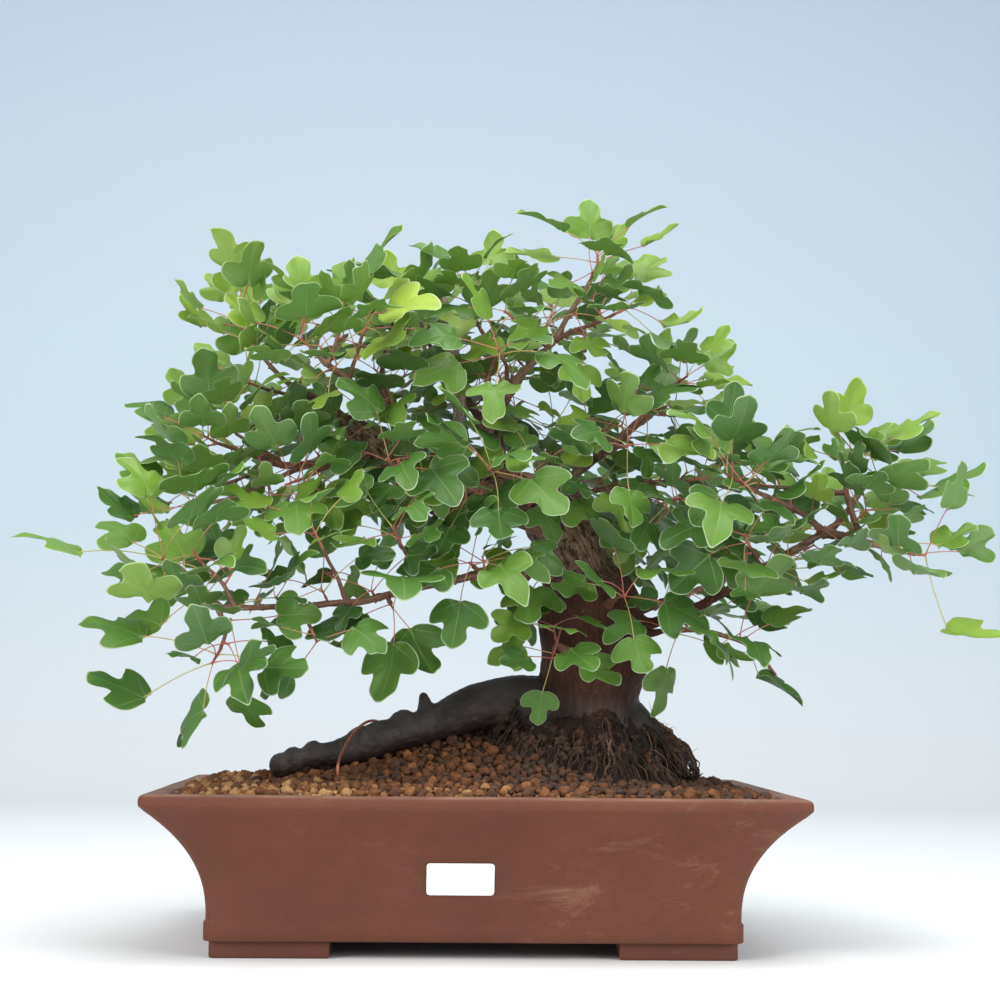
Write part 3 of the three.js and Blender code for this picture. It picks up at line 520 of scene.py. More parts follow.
limb_runs = [
    # low left bough and its twigs
    [[72, -14, 152, 6.2], [56, -24, 152, 4.3], [36, -32, 150, 3.4], [2, -60, 147, 2.9],
      [-89, -90, 125, 2.4], [-140, -103, 121, 2], [-176, -110, 120, 1.7]],
    [[-170, -109, 120, 1.6], [-180, -116, 132, 1.5], [-190, -120, 141, 1.2], [-200, -124, 146, 1.2]],
    [[-172, -109, 120, 1.6], [-166, -118, 106, 1.3], [-168, -124, 92, 1.2]],
    [[-160, -107, 120, 1.6], [-170, -104, 136, 1.3], [-184, -102, 150, 1.2]],
    [[-60, -81, 132, 1.4], [-60, -86, 129, 1.3], [-60, -91, 126, 1.2]],
    [[2, -60, 147, 1.6], [0, -66, 150, 1.3], [-2, -71, 152, 1.2]],
    [[-88, -89, 126, 1.7], [-96, -94, 144, 1.3], [-104, -100, 160, 1.2]],
    [[-118, -97, 123, 1.6], [-114, -104, 114, 1.3], [-110, -112, 106, 1.2]],
    [[-30, -71, 139, 1.8], [-44, -82, 152, 1.3], [-52, -92, 164, 1.2]],
    # left bough, carrying on from the trunk's line
    [[-70, 5, 240, 7], [-92, -4, 232, 3.6], [-139, -10, 227, 2.5], [-155, -14, 232, 2],
      [-169, -20, 236, 1.7], [-184, -28, 240, 1.2]],
    [[-139, -10, 227, 2], [-158, -16, 240, 1.5], [-172, -20, 248, 1.2]],
    [[-146, -12, 229, 1.8], [-162, -20, 218, 1.4], [-177, -26, 212, 1.2]],
    [[-120, -8, 229, 2], [-146, -34, 212, 1.6], [-172, -56, 198, 1.3], [-190, -66, 192, 1.2]],
    [[-92, -4, 232, 2.2], [-112, -36, 220, 1.6], [-122, -58, 212, 1.2]],
    # upper left boughs
    [[-34, 2, 218, 8.6], [-50, -10, 245, 4.3], [-66, -20, 267, 3.3], [-92, -44, 284, 2.6],
      [-106, -57, 293, 2.1], [-118, -61, 304, 1.3]],
    [[-106, -57, 293, 1.7], [-101, -62, 304, 1.4], [-98, -64, 314, 1.3]],
    [[-84, 6, 252, 4.6], [-108, -4, 272, 2.6], [-137, -20, 286, 1.8], [-159, -28, 310, 1.3],
      [-167, -30, 321, 1.2]],
    [[-120, -12, 277, 1.7], [-142, -2, 281, 1.3], [-158, 4, 286, 1.2]],
    [[-62, -18, 264, 2.6], [-70, 2, 300, 1.8], [-64, 6, 326, 1.3], [-62, 6, 338, 1.2]],
    [[-92, -44, 284, 1.7], [-86, -54, 302, 1.3], [-82, -60, 314, 1.2]],
    # dead stub with its cut knot
    [[-10, 2, 222, 8], [-12, 0, 256, 5.4], [-14, -2, 290, 4.4], [-19, -2, 322, 4.2], [-22, -2, 338, 5.2],
      [-25, -2, 348, 4.2], [-30, -2, 360, 3.4]],
    [[-14, 0, 286, 2.6], [-32, 12, 316, 1.6], [-42, 14, 338, 1.3], [-42, 14, 350, 1.2]],
    # apex
    [[20, -2, 214, 9.4], [14, -8, 246, 5], [9, -10, 270, 4], [30, -18, 294, 2.8], [55, -25, 319, 2.2],
      [66, -28, 339, 1.8], [76, -30, 355, 1.5], [85, -30, 371, 1.2]],
    [[55, -25, 319, 1.8], [72, -26, 327, 1.5], [88, -25, 333, 1.3], [98, -25, 339, 1.2]],
    [[9, -10, 268, 2.9], [8, -14, 294, 2.1], [12, -18, 309, 1.7], [1, -20, 328, 1.4], [-6, -22, 346, 1.2]],
    [[50, -24, 314, 1.7], [38, -32, 323, 1.3], [28, -36, 329, 1.2]],
    [[12, -6, 262, 3.3], [30, 20, 294, 2.3], [45, 42, 324, 1.7], [55, 56, 348, 1.3]],
    [[9, -9, 256, 4], [-15, 30, 294, 2.1], [-34, 54, 318, 1.6], [-44, 68, 338, 1.2]],
    [[20, -14, 282, 2], [20, -44, 292, 1.5], [16, -66, 298, 1.2]],
    # right limb and the thin one beside it
    [[48, -2, 204, 9.4], [62, -1, 218, 4.6], [95, -5, 242, 3.3], [120, -12, 266, 2.6], [142, -20, 289, 1.6]],
    [[60, -2, 206, 4], [84, -8, 212, 2], [127, -12, 219, 1.5], [152, -16, 220, 1.2]],
    [[112, -10, 258, 2], [130, 14, 272, 1.5], [140, 34, 284, 1.2]],
    [[92, -5, 240, 2], [100, -36, 240, 1.4], [102, -56, 238, 1.2]],
    [[104, -9, 216, 1.6], [124, -34, 206, 1.3], [134, -48, 202, 1.2]],
    # low right bough with its knots and forks
    [[104, -6, 112, 9.4], [126, -12, 117, 5], [157, -20, 128, 3.6], [171, -28, 136, 3.3],
      [205, -42, 147, 3], [221, -50, 159, 2.9], [234, -56, 175, 2.8], [241, -60, 180, 3.3],
      [266, -70, 174, 2.4], [300, -80, 164, 1.5]],
    [[266, -70, 174, 2.1], [260, -66, 194, 2], [257, -62, 208, 2.1], [259, -58, 228, 1.5]],
    [[241, -60, 180, 2.4], [250, -58, 185, 2.4], [266, -50, 205, 2.2], [276, -45, 216, 1.2]],
    [[257, -62, 208, 1.7], [237, -52, 209, 1.6], [206, -40, 214, 1.3]],
    [[241, -60, 180, 2.5], [227, -64, 192, 2.2], [203, -74, 201, 1.8], [181, -84, 210, 1.3]],
    [[171, -28, 136, 2.2], [180, -10, 156, 1.7], [184, 4, 176, 1.3]],
    [[205, -42, 147, 2], [196, -58, 158, 1.5], [188, -70, 168, 1.2]],
    [[104, -12, 106, 7], [138, -36, 112, 2], [161, -44, 111, 1.6], [176, -48, 107, 1.2]],
    [[161, -44, 111, 1.3], [186, -42, 104, 1.2], [198, -40, 97, 1.2], [211, -38, 81, 1.2]],
    # short boughs on the front of the trunk
    [[40, -14, 186, 4], [26, -25, 188, 2.4], [12, -34, 196, 2], [0, -38, 199, 1.6]],
    [[48, -18, 182, 4], [33, -27, 188, 2.2], [36, -34, 204, 1.8], [38, -36, 212, 1.5]],
    [[24, -12, 210, 4], [24, -48, 214, 1.8], [12, -84, 216, 1.3]],
    [[-30, -8, 204, 4], [-44, -44, 214, 1.7], [-56, -66, 220, 1.2]],
    [[64, -32, 96, 3.3], [56, -44, 100, 1.6], [54, -54, 96, 1.2]],
    [[92, -32, 128, 3.3], [98, -46, 134, 1.6], [100, -54, 134, 1.2]],
    # boughs at the back, out of sight from the front
    [[70, 12, 168, 7], [88, 60, 186, 3.3], [102, 104, 206, 2.4], [112, 142, 220, 1.6]],
    [[92, 72, 192, 2.2], [124, 92, 206, 1.6], [150, 106, 216, 1.2]],
    [[-8, 12, 210, 7], [-28, 60, 230, 3.3], [-48, 104, 240, 2.2], [-58, 138, 246, 1.6]],
    [[-34, 74, 233, 2.1], [-72, 88, 244, 1.6], [-100, 98, 250, 1.2]],
    [[98, 26, 118, 7], [138, 66, 134, 3], [176, 100, 148, 2.1], [200, 118, 156, 1.6]],
    [[50, 14, 196, 4], [56, 56, 230, 2.2], [60, 86, 260, 1.6]],
]


def smooth_run(run, spacing):
    """A curve through a run's points, as rows of x, y, z and radius in metres in the row frame."""
    rows = np.array(run, dtype=float)
    rows = np.concatenate([2 * rows[:1] - rows[1:2], rows, 2 * rows[-1:] - rows[-2:-1]])
    knots = np.concatenate([[0], np.cumsum(np.sqrt(np.linalg.norm(np.diff(rows[:, :3], axis=0), axis=1)))])
    made = []
    for i in range(1, len(rows) - 2):
        p0, p1, p2, p3 = rows[i - 1 : i + 3]
        t0, t1, t2, t3 = knots[i - 1 : i + 3]
        steps = max(1, int(math.ceil(np.linalg.norm(p2[:3] - p1[:3]) / spacing)))
        for step in range(steps):
            t = t1 + (t2 - t1) * step / steps
            a1 = (t1 - t) / (t1 - t0) * p0 + (t - t0) / (t1 - t0) * p1
            a2 = (t2 - t) / (t2 - t1) * p1 + (t - t1) / (t2 - t1) * p2
            a3 = (t3 - t) / (t3 - t2) * p2 + (t - t2) / (t3 - t2) * p3
            b1 = (t2 - t) / (t2 - t0) * a1 + (t - t0) / (t2 - t0) * a2
            b2 = (t3 - t) / (t3 - t1) * a2 + (t - t1) / (t3 - t1) * a3
            point = (t2 - t) / (t2 - t1) * b1 + (t - t1) / (t2 - t1) * b2
            point[3] = p1[3] + (p2[3] - p1[3]) * step / steps
            made.append(point)
    made.append(rows[-2])
    made = np.array(made) * mm
    made[:, :3] += (pot_x, pot_y, rim)
    return made


def directions(line):
    """Unit directions along a line of points, and a steady pair of directions across it."""
    along = np.gradient(line[:, :3], axis=0)
    along /= np.linalg.norm(along, axis=1, keepdims=True) + 1e-12
    across = np.zeros_like(along)
    last = np.cross(along[0], (0.3, 0.9, 0.2))
    for i, way in enumerate(along):
        last = last - way * (last @ way)
        last /= np.linalg.norm(last)
        across[i] = last
    return along, across, np.cross(along, across)


def tube(line, sides, swell=None, cap=0.7):
    """A closed tube along rows of x, y, z, radius. swell(i, angles) scales the radius round ring i.
    Returns its points, its faces, and for each point how far along and how far round it lies."""
    along, across, side = directions(line)
    angles = np.arange(sides) * 2 * math.pi / sides
    rings, runs = [], []
    far = np.concatenate([[0], np.cumsum(np.linalg.norm(np.diff(line[:, :3], axis=0), axis=1))])
    for i in range(len(line)):
        radius = line[i, 3] * (swell(i, angles) if swell else np.ones(sides))
        ring = line[i, :3] + radius[:, None] * (
            np.cos(angles)[:, None] * across[i] + np.sin(angles)[:, None] * side[i]
        )
        rings.append(ring)
        runs.append(np.stack([line[i, 3] * np.cos(angles), line[i, 3] * np.sin(angles), np.full(sides, far[i])], 1))
    points = np.concatenate(rings)
    coords = np.concatenate(runs)
    first = len(points)
    points = np.concatenate([
        points, [line[0, :3] - along[0] * line[0, 3] * cap], [line[-1, :3] + along[-1] * line[-1, 3] * cap]
    ])
    coords = np.concatenate([coords, [[0, 0, 0]], [[0, 0, far[-1]]]])
    faces = []
    for i in range(len(line) - 1):
        for j in range(sides):
            k = (j + 1) % sides
            faces.append((i * sides + j, i * sides + k, (i + 1) * sides + k, (i + 1) * sides + j))
    for j in range(sides):
        k = (j + 1) % sides
        faces.append((first, k, j))
        faces.append((first + 1, (len(line) - 1) * sides + j, (len(line) - 1) * sides + k))
    return points, faces, coords


def join(parts):
    """Several (points, faces) as one."""
    points, faces, base = [], [], 0
    for part_points, part_faces in parts:
        points.append(part_points)
        faces += [tuple(i + base for i in face) for face in part_faces]
        base += len(part_points)
    return np.concatenate(points), faces


def vertex_rows(mesh):
    rows = np.empty(len(mesh.vertices) * 3, dtype=np.float32)
    mesh.vertices.foreach_get("co", rows)
    return rows.reshape(-1, 3).astype(float)


def tint(mesh, name, values):
    """One number, or one row of three, for each point of a mesh, for its material to read."""
    values = np.asarray(values, dtype=np.float32)
    kind, field = ("FLOAT", "value") if values.ndim == 1 else ("FLOAT_VECTOR", "vector")
    made = mesh.attributes.new(name, kind, "POINT")
    made.data.foreach_set(field, values.ravel())


def ball(levels):
    """Points and faces of a ball of unit radius, cut finer at each level."""
    golden = (1 + 5 ** 0.5) / 2
    points = [Vector(p).normalized() for p in (
        (-1, golden, 0), (1, golden, 0), (-1, -golden, 0), (1, -golden, 0), (0, -1, golden), (0, 1, golden),
        (0, -1, -golden), (0, 1, -golden), (golden, 0, -1), (golden, 0, 1), (-golden, 0, -1), (-golden, 0, 1),
    )]
    faces = [
        (0, 11, 5), (0, 5, 1), (0, 1, 7), (0, 7, 10), (0, 10, 11), (1, 5, 9), (5, 11, 4), (11, 10, 2),
        (10, 7, 6), (7, 1, 8), (3, 9, 4), (3, 4, 2), (3, 2, 6), (3, 6, 8), (3, 8, 9), (4, 9, 5), (2, 4, 11),
        (6, 2, 10), (8, 6, 7), (9, 8, 1),
    ]
    for _ in range(levels):
        middles, finer = {}, []
        for a, b, c in faces:
            cut = []
            for pair in ((a, b), (b, c), (c, a)):
                key = (min(pair), max(pair))
                if key not in middles:
                    middles[key] = len(points)
                    points.append((points[key[0]] + points[key[1]]).normalized())
                cut.append(middles[key])
            finer += [(a, cut[0], cut[2]), (b, cut[1], cut[0]), (c, cut[2], cut[1]), tuple(cut)]
        faces = finer
    return np.array(points), np.array(faces)


thick = 6.0
thick_runs = [trunk_run, bend_run, surface_root_run] + root_runs
for run in limb_runs:
    if run[0][3] >= thick:
        kept = [row for row in run if row[3] >= 3.3]
        thick_runs.append(kept if len(kept) > 1 else run[:2])

# Lumps of old wood: swollen limb bases, healed cuts and the heavy butt above the roots.
lumps = [
    (106, -10, 108, 14), (112, -4, 96, 12), (60, -8, 158, 17), (52, 4, 188, 16), (118, -12, 116, 8),
    (42, -14, 52, 17), (22, -18, 56, 16), (-2, -18, 57, 12), (-124, -45, 19, 8.5), (-111, -42, 23, 8.5),
    (-133, -46, 15, 7.5), (-50, -26, 42, 11), (-79, -32, 30, 11.5), (20, -12, 62, 12),
    (112, -14, 34, 20), (60, -22, 24, 24), (98, -34, 16, 18), (76, -36, 12, 17), (122, 4, 20, 17),
    (-32, 0, 214, 16), (-60, 4, 236, 13), (12, -2, 214, 19), (48, -2, 206, 18),
]
parts = []
for run in thick_runs:
    line = smooth_run(run, 3.0)
    seed = run[0][0] * 0.37 + run[0][2] * 0.11

    def knobbly(i, angles, line=line, seed=seed):
        place = line[i, :3]
        return np.array([
            1 + 0.13 * noise.noise(Vector((
                place[0] * 24 + math.cos(a) * 0.9, place[1] * 24 + math.sin(a) * 0.9, place[2] * 24 + seed
            )))
            for a in angles
        ])

    points, faces, _ = tube(line, 28 if run[0][3] > 15 else 16, swell=knobbly)
    parts.append((points, faces))
ball_points, ball_faces = ball(2)
for x, y, z, radius in lumps:
    place = np.array((pot_x + x * mm, pot_y + y * mm, rim + z * mm))
    parts.append((place + ball_points * (radius * mm) * (1.0, 0.9, 1.15), [tuple(f) for f in ball_faces]))
rough_points, rough_faces = join(parts)
rough = bpy.data.objects.new("rough_wood", mesh_from("rough_wood", rough_points, rough_faces))
bpy.context.scene.collection.objects.link(rough)
remesh = rough.modifiers.new("one_skin", "REMESH")
remesh.mode = "VOXEL"
remesh.voxel_size = 1.15 * mm
remesh.adaptivity = 0
relax = rough.modifiers.new("relax", "SMOOTH")
relax.factor = 0.6
relax.iterations = 9
bpy.context.view_layer.update()
wood_mesh = bpy.data.meshes.new_from_object(rough.evaluated_get(bpy.context.evaluated_depsgraph_get()))
bpy.data.objects.remove(rough)

# Each point of the skin belongs to the nearest run: this gives how far along it and round it lies.
skin_points = vertex_rows(wood_mesh)
lines = [smooth_run(run, 2.0) for run in thick_runs]
samples = np.concatenate(lines)
owners = np.concatenate([np.full(len(line), i) for i, line in enumerate(lines)])
fars = np.concatenate([
    np.concatenate([[0], np.cumsum(np.linalg.norm(np.diff(line[:, :3], axis=0), axis=1))]) for line in lines
])
sides_a = np.concatenate([directions(line)[1] for line in lines])
sides_b = np.concatenate([directions(line)[2] for line in lines])
nearest = np.empty(len(skin_points), dtype=int)
for start in range(0, len(skin_points), 4000):
    block = skin_points[start : start + 4000]
    gaps = np.linalg.norm(block[:, None] - samples[None, :, :3], axis=2) - samples[None, :, 3]
    nearest[start : start + 4000] = gaps.argmin(axis=1)
offsets = skin_points - samples[nearest, :3]
grain_rows = np.stack([
    (offsets * sides_a[nearest]).sum(1), (offsets * sides_b[nearest]).sum(1),
    fars[nearest] + 0.31 * owners[nearest],
], axis=1)
above_rim = (skin_points[:, 2] - rim) / mm
bare_root = np.isin(owners[nearest], (2, 3, 4, 5, 6, 7, 8, 9)) | (above_rim < 42)
# 0 on bare root, 0.5 on the smooth butt of the trunk, 1 on the old furrowed bark above.
age = np.where(bare_root, 0.0, np.clip((above_rim - 40) / 40, 0, 1) * 0.5 + np.clip((above_rim - 128) / 40, 0, 1) * 0.5)
normals = np.empty(len(wood_mesh.vertices) * 3, dtype=np.float32)
wood_mesh.vertices.foreach_get("normal", normals)
normals = normals.reshape(-1, 3).astype(float)
depth = np.zeros(len(skin_points))
crack = np.zeros(len(skin_points))
for i, (place, row, old) in enumerate(zip(skin_points, grain_rows, age)):
    a, b, s = row
    twist = Vector((a * 230 + 3 * math.sin(s * 60), b * 230, s * 46))
    furrow = 1 - abs(noise.noise(twist)) * 2.6
    fine = 1 - abs(noise.noise(Vector((a * 520, b * 520, s * 130 + 7)))) * 2.4
    plates = noise.noise(Vector((a * 150, b * 150, s * 90 + 3)))
    broad = noise.noise(Vector(place) * 42)
    small = noise.noise(Vector(place) * 330)
    deep = max(0.0, furrow - 0.25) ** 1.4
    fine = max(0.0, fine - 0.2)
    high = old * old
    cut = high * (1.35 * deep + 0.45 * fine) + (1 - high) * (0.16 * deep + 0.20 * fine)
    depth[i] = (-cut + 0.5 * plates * (0.35 + 0.65 * high) + 1.3 * broad * (1 - 0.6 * high) + (0.5 - 0.28 * high) * small) * mm
    crack[i] = min(1.0, deep * 0.9 + 0.55 * fine)
moved = skin_points + normals * depth[:, None]
wood_mesh.vertices.foreach_set("co", moved.ravel())
wood_mesh.polygons.foreach_set("use_smooth", [True] * len(wood_mesh.polygons))
wood_mesh.update()
tint(wood_mesh, "age", age)
tint(wood_mesh, "crack", crack)
tint(wood_mesh, "grain", grain_rows)
print("wood skin", len(wood_mesh.polygons))

bark = Nodes("maple_bark", roughness=0.8)
bark_age = bark.attribute("age")
bark_crack = bark.attribute("crack")
bark_grain = bark.attribute("grain", "Vector")
streaks = bark.noise(420.0, bark.stretch(bark_grain, (1.0, 1.0, 0.22)), detail=5.0, roughness=0.7)
mottle = bark.noise(55.0, detail=4.0, roughness=0.6)
furrowed = bark.ramp(streaks, [
    (0.28, (0.130, 0.075, 0.040)), (0.50, (0.275, 0.175, 0.105)), (0.72, (0.450, 0.320, 0.215)),
])
furrowed = bark.mix(bark.span(bark_crack, 0.12, 0.75), furrowed, (0.040, 0.021, 0.013))
smooth_butt = bark.ramp(streaks, [
    (0.30, (0.034, 0.011, 0.006)), (0.52, (0.070, 0.023, 0.011)), (0.74, (0.125, 0.048, 0.023)),
])
pores = bark.cells(520.0, bark_grain)
smooth_butt = bark.mix(
    bark.math("MULTIPLY", bark.span(pores.outputs["Distance"], 0.10, 0.22, 1.0, 0.0), bark.span(mottle, 0.45, 0.6, 0.0, 0.7)),
    smooth_butt, (0.310, 0.165, 0.085),
)
root_skin = bark.ramp(mottle, [
    (0.32, (0.010, 0.007, 0.006)), (0.50, (0.026, 0.016, 0.013)), (0.70, (0.060, 0.038, 0.029)),
])
root_skin = bark.mix(bark.span(streaks, 0.50, 0.72, 0.0, 0.5), root_skin, (0.130, 0.075, 0.050))
# Painted sheen: the root's upward faces are painted a paler grey, as a highlight from above.
up_facing = bark.node("ShaderNodeSeparateXYZ", Vector=bark.node("ShaderNodeNewGeometry").outputs["Normal"]).outputs["Z"]
root_skin = bark.mix(
    bark.math("MULTIPLY", bark.span(up_facing, 0.15, 0.9), bark.span(mottle, 0.4, 0.65, 0.25, 0.8)),
    root_skin, (0.085, 0.078, 0.076),
)
bark_color = bark.mix(bark.span(bark_age, 0.08, 0.40), root_skin, smooth_butt)
bark_color = bark.mix(bark.span(bark_age, 0.58, 0.92), bark_color, furrowed)
bark_finish = bark.finish(
    color=bark_color,
    roughness=bark.span(bark_age, 0.0, 0.5, 0.52, 0.86),
    bumps=[(streaks, 0.0011, 0.7), (mottle, 0.0016, 0.35)],
)
wood_skin = add_object("wood_skin", wood_mesh, [bark_finish])


# Limbs and twigs: thinner growth from the boughs, swollen at each pair of buds, ending in the tips
# that carry this year's shoots. The grey stub is an old leader, dead and cut back above a knot.
def grown_tube(run, seed, dead=False):
    """Points, faces and grain of one thin limb, a little crooked and knobbed at its buds, with its buds, middle line
    and distances along it.
    """
    draw = random.Random(seed)
    line = smooth_run(run, 1.5)
    count = len(line)
    along, across, side = directions(line)
    far = np.concatenate([[0], np.cumsum(np.linalg.norm(np.diff(line[:, :3], axis=0), axis=1))])
    total = far[-1]
    fade = np.minimum(1, np.minimum(far, total - far) / (12 * mm))
    for i in range(count):
        wander = noise.noise_vector(Vector((far[i] * 45, seed * 3.1, 0))) * 1.3 * mm
        line[i, :3] += fade[i] * np.array(wander)
    buds, at = [], draw.uniform(4, 9) * mm
    while at < total - 3 * mm:
        buds.append((at, draw.uniform(0.10, 0.30)))
        at += draw.uniform(9, 19) * mm
    if not dead:
        for at, rise in buds:
            line[:, 3] *= 1 + rise * np.exp(-((far - at) / (1.1 * mm)) ** 2) * np.minimum(1, 3 * mm / line[:, 3])
    line[:, 3] *= 1 + 0.55 * np.exp(-far / (3.5 * mm))

    def swell(i, angles):
        return np.array([
            1 + 0.10 * noise.noise(Vector((math.cos(a) * 1.3, math.sin(a) * 1.3, far[i] * 320 + seed)))
            + 0.07 * noise.noise(Vector((math.cos(a) * 3, math.sin(a) * 3, far[i] * 90 + seed)))
            for a in angles
        ])

    sides = 14 if run[0][3] > 3.5 else 10
    points, faces, coords = tube(line, sides, swell=swell)
    return points, faces, coords, buds, line, far


twig_parts, twig_coords, twig_tones = [], [], []
dead_parts, dead_coords = [], []
for number, run in enumerate(limb_runs):
    dead = run[0][:3] == [-10, 2, 222]
    if run[0][3] >= thick and not dead:
        kept = [i for i, row in enumerate(run) if row[3] >= 3.3]
        run = run[max(0, kept[-1] if len(kept) > 1 else 1):]
        if len(run) < 2:
            continue
    points, faces, coords, buds, line, far = grown_tube(run, number + 1, dead)
    if dead:
        dead_parts.append((points, faces))
        dead_coords.append(coords)
        continue
    draw = random.Random(number + 500)
    redness = min(1.0, max(0.0, 0.80 - run[0][3] / 7 + draw.uniform(-0.25, 0.25)))
    twig_parts.append((points, faces))
    twig_coords.append(coords)
    twig_tones.append(np.full(len(points), redness))
    for at, rise in buds:
        i = int(np.argmin(abs(far - at)))
        for flip in (0, math.pi):
            if draw.random() < 0.72:
                continue
            along, across, side = directions(line)
            angle = draw.uniform(-0.4, 0.4) + flip + (math.pi / 2 if draw.random() < 0.5 else 0)
            out = across[i] * math.cos(angle) + side[i] * math.sin(angle) + along[i] * draw.uniform(0.4, 1.1)
            out /= np.linalg.norm(out)
            reach = draw.choice((1.0, 1.5, 2.2)) * mm
            foot = line[i, :3] + out * line[i, 3] * 0.5
            spur = np.array([
                [*foot, 0.9 * mm], [*(foot + out * (line[i, 3] * 0.5 + 0.4 * reach)), 0.85 * mm],
                [*(foot + out * (line[i, 3] * 0.5 + reach)), 0.45 * mm],
            ])
            points, faces, coords = tube(spur, 6)
            twig_parts.append((points, faces))
            twig_coords.append(coords)
            twig_tones.append(np.full(len(points), min(1.0, redness + 0.2)))

# The knot of the dead stub: a healed ring round a cut side branch, on the side that faces forward.
knot = np.array((pot_x - 22 * mm, pot_y - 2 * mm, rim + 338 * mm))
for turn in range(2):
    ring_middle = knot + np.array(((0.4, -5.4, 0), (3.6, -3.6, -0.6))[turn]) * mm
    facing = Vector(((0.1, -1.0, 0.05), (0.8, -0.7, 0.0))[turn]).normalized()
    flat_a = np.array(facing.orthogonal().normalized())
    flat_b = np.cross(np.array(facing), flat_a)
    bead = []
    for step in range(25):
        angle = 2 * math.pi * step / 24
        wide = (4.0, 2.6)[turn] * mm * (1 + 0.08 * math.sin(3 * angle))
        bead.append([*(ring_middle + wide * (flat_a * math.cos(angle) + flat_b * math.sin(angle))), 1.5 * mm])
    points, faces, coords = tube(np.array(bead), 8, cap=0)
    dead_parts.append((points, faces))
    dead_coords.append(coords)

twig_bark = Nodes("twig_bark", roughness=0.62)
tone = twig_bark.attribute("tone")
twig_grain = twig_bark.attribute("grain", "Vector")
twig_streak = twig_bark.noise(700.0, twig_bark.stretch(twig_grain, (1.0, 1.0, 0.3)), detail=4.0, roughness=0.65)
twig_tan = twig_bark.ramp(twig_streak, [(0.3, (0.110, 0.056, 0.032)), (0.5, (0.235, 0.130, 0.075)), (0.72, (0.370, 0.235, 0.150))])
twig_red = twig_bark.ramp(twig_streak, [(0.3, (0.050, 0.016, 0.012)), (0.5, (0.125, 0.040, 0.026)), (0.72, (0.240, 0.095, 0.060))])
twig_color = twig_bark.mix(tone, twig_tan, twig_red)
lenticels = twig_bark.cells(900.0, twig_bark.stretch(twig_grain, (1.0, 1.0, 0.5)))
twig_color = twig_bark.mix(
    twig_bark.span(lenticels.outputs["Distance"], 0.06, 0.14, 0.55, 0.0), twig_color, (0.46, 0.33, 0.23)
)
twig_finish = twig_bark.finish(
    color=twig_color, bumps=[(twig_streak, 0.0007, 0.6), (lenticels.outputs["Distance"], 0.0003, 0.4)]
)
dead_wood = Nodes("weathered_dead_wood", roughness=0.88)
dead_grain = dead_wood.attribute("grain", "Vector")
dead_streak = dead_wood.noise(520.0, dead_wood.stretch(dead_grain, (1.0, 1.0, 0.12)), detail=5.0, roughness=0.7)
dead_color = dead_wood.ramp(dead_streak, [
    (0.26, (0.085, 0.060, 0.045)), (0.42, (0.300, 0.230, 0.180)), (0.60, (0.520, 0.430, 0.350)), (0.78, (0.660, 0.570, 0.480)),
])
dead_finish = dead_wood.finish(color=dead_color, bumps=[(dead_streak, 0.0010, 0.8)])
for name, parts, coords, finish in (
    ("limbs_and_twigs", twig_parts, twig_coords, twig_finish), ("dead_stub", dead_parts, dead_coords, dead_finish)
):
    points, faces = join(parts)
    mesh = mesh_from(name, points, faces)
    tint(mesh, "grain", np.concatenate(coords))
    if name == "limbs_and_twigs":
        tint(mesh, "tone", np.concatenate(twig_tones))
    piece = add_object(name, mesh, [finish])
    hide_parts("wood")
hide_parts("wood")


# Root mat: fine roots bared when the soil was washed off the butt. They cling to it and fan out into
# the soil in front and to the right, with torn hair roots standing off them.
from mathutils.bvhtree import BVHTree

middle_x, middle_y = 84, -4
soil_below_rim = 13 * mm
soil_shoulder = 32 * mm
mound_height = 40 * mm
mound_x = 24 * mm
mound_y = 8 * mm
mound_spread_left = 92 * mm
mound_spread_right = 54 * mm
mound_spread_y = 62 * mm
soil_half_x = body_half_x + lip_overhang - lip_top - 1.5 * mm
soil_half_y = body_half_y + lip_overhang - lip_top - 1.5 * mm


def soil_top(x, y):
    """Height of the soil at a place measured from the pot's middle."""
    wall = min(body_half_x + lip_overhang - abs(x), body_half_y + lip_overhang - abs(y))
    inside = min(1.0, max(0.0, wall / soil_shoulder))
    spread_x = mound_spread_left if x < mound_x else mound_spread_right
    away = ((x - mound_x) / spread_x) ** 2 + ((y - mound_y) / mound_spread_y) ** 2
    lumps = 3.0 * mm * noise.noise(Vector((x * 30, y * 30, 4.0)))
    return rim - soil_below_rim * (1 - inside) ** 2 + inside * (mound_height * math.exp(-away / 2) + lumps)


root_ball_high = 58
ball_rings, ball_steps = 84, 300
ball_skin, ball_sides = [], []
for ring in range(ball_rings + 1):
    share = ring / ball_rings
    for step in range(ball_steps):
        angle = 2 * math.pi * step / ball_steps
        way_x, way_y = math.cos(angle), math.sin(angle)
        reach = 1 / math.hypot(way_x / (66 if way_x < 0 else 44), way_y / (70 if way_y < 0 else 52))
        reach *= 1 + 0.16 * noise.noise(Vector((way_x * 2.2, way_y * 2.2, 1.5)))
        far_out = 26 + (reach - 26) * share
        x, y = (middle_x + far_out * way_x) * mm, (middle_y + far_out * way_y) * mm
        foot = soil_top(x, y) - 4 * mm
        top = rim + (root_ball_high + 6 * way_x) * mm
        z = foot + (top - foot) * (1 - share) ** 0.85
        spot_here = Vector((x, y, z))
        rough = 4.2 * noise.noise(spot_here * 55) + 2.6 * noise.noise(spot_here * 130)
        rough += 1.9 * abs(noise.noise(spot_here * 290)) + 1.2 * noise.noise(spot_here * 620)
        rough += 1.6 * noise.noise(Vector((angle * 9, z * 25, 3.0)))
        push = Vector((way_x, way_y, 0.55)) * (rough * mm)
        ball_skin.append((pot_x + x + push.x, pot_y + y + push.y, z + push.z))
for ring in range(ball_rings):
    for step in range(ball_steps):
        after = (step + 1) % ball_steps
        a, b = ring * ball_steps + step, ring * ball_steps + after
        ball_sides.append((a, a + ball_steps, b + ball_steps, b))
root_earth = Nodes("earth_in_roots", roughness=0.92)
earth_grit = root_earth.noise(420.0, detail=6.0, roughness=0.75)
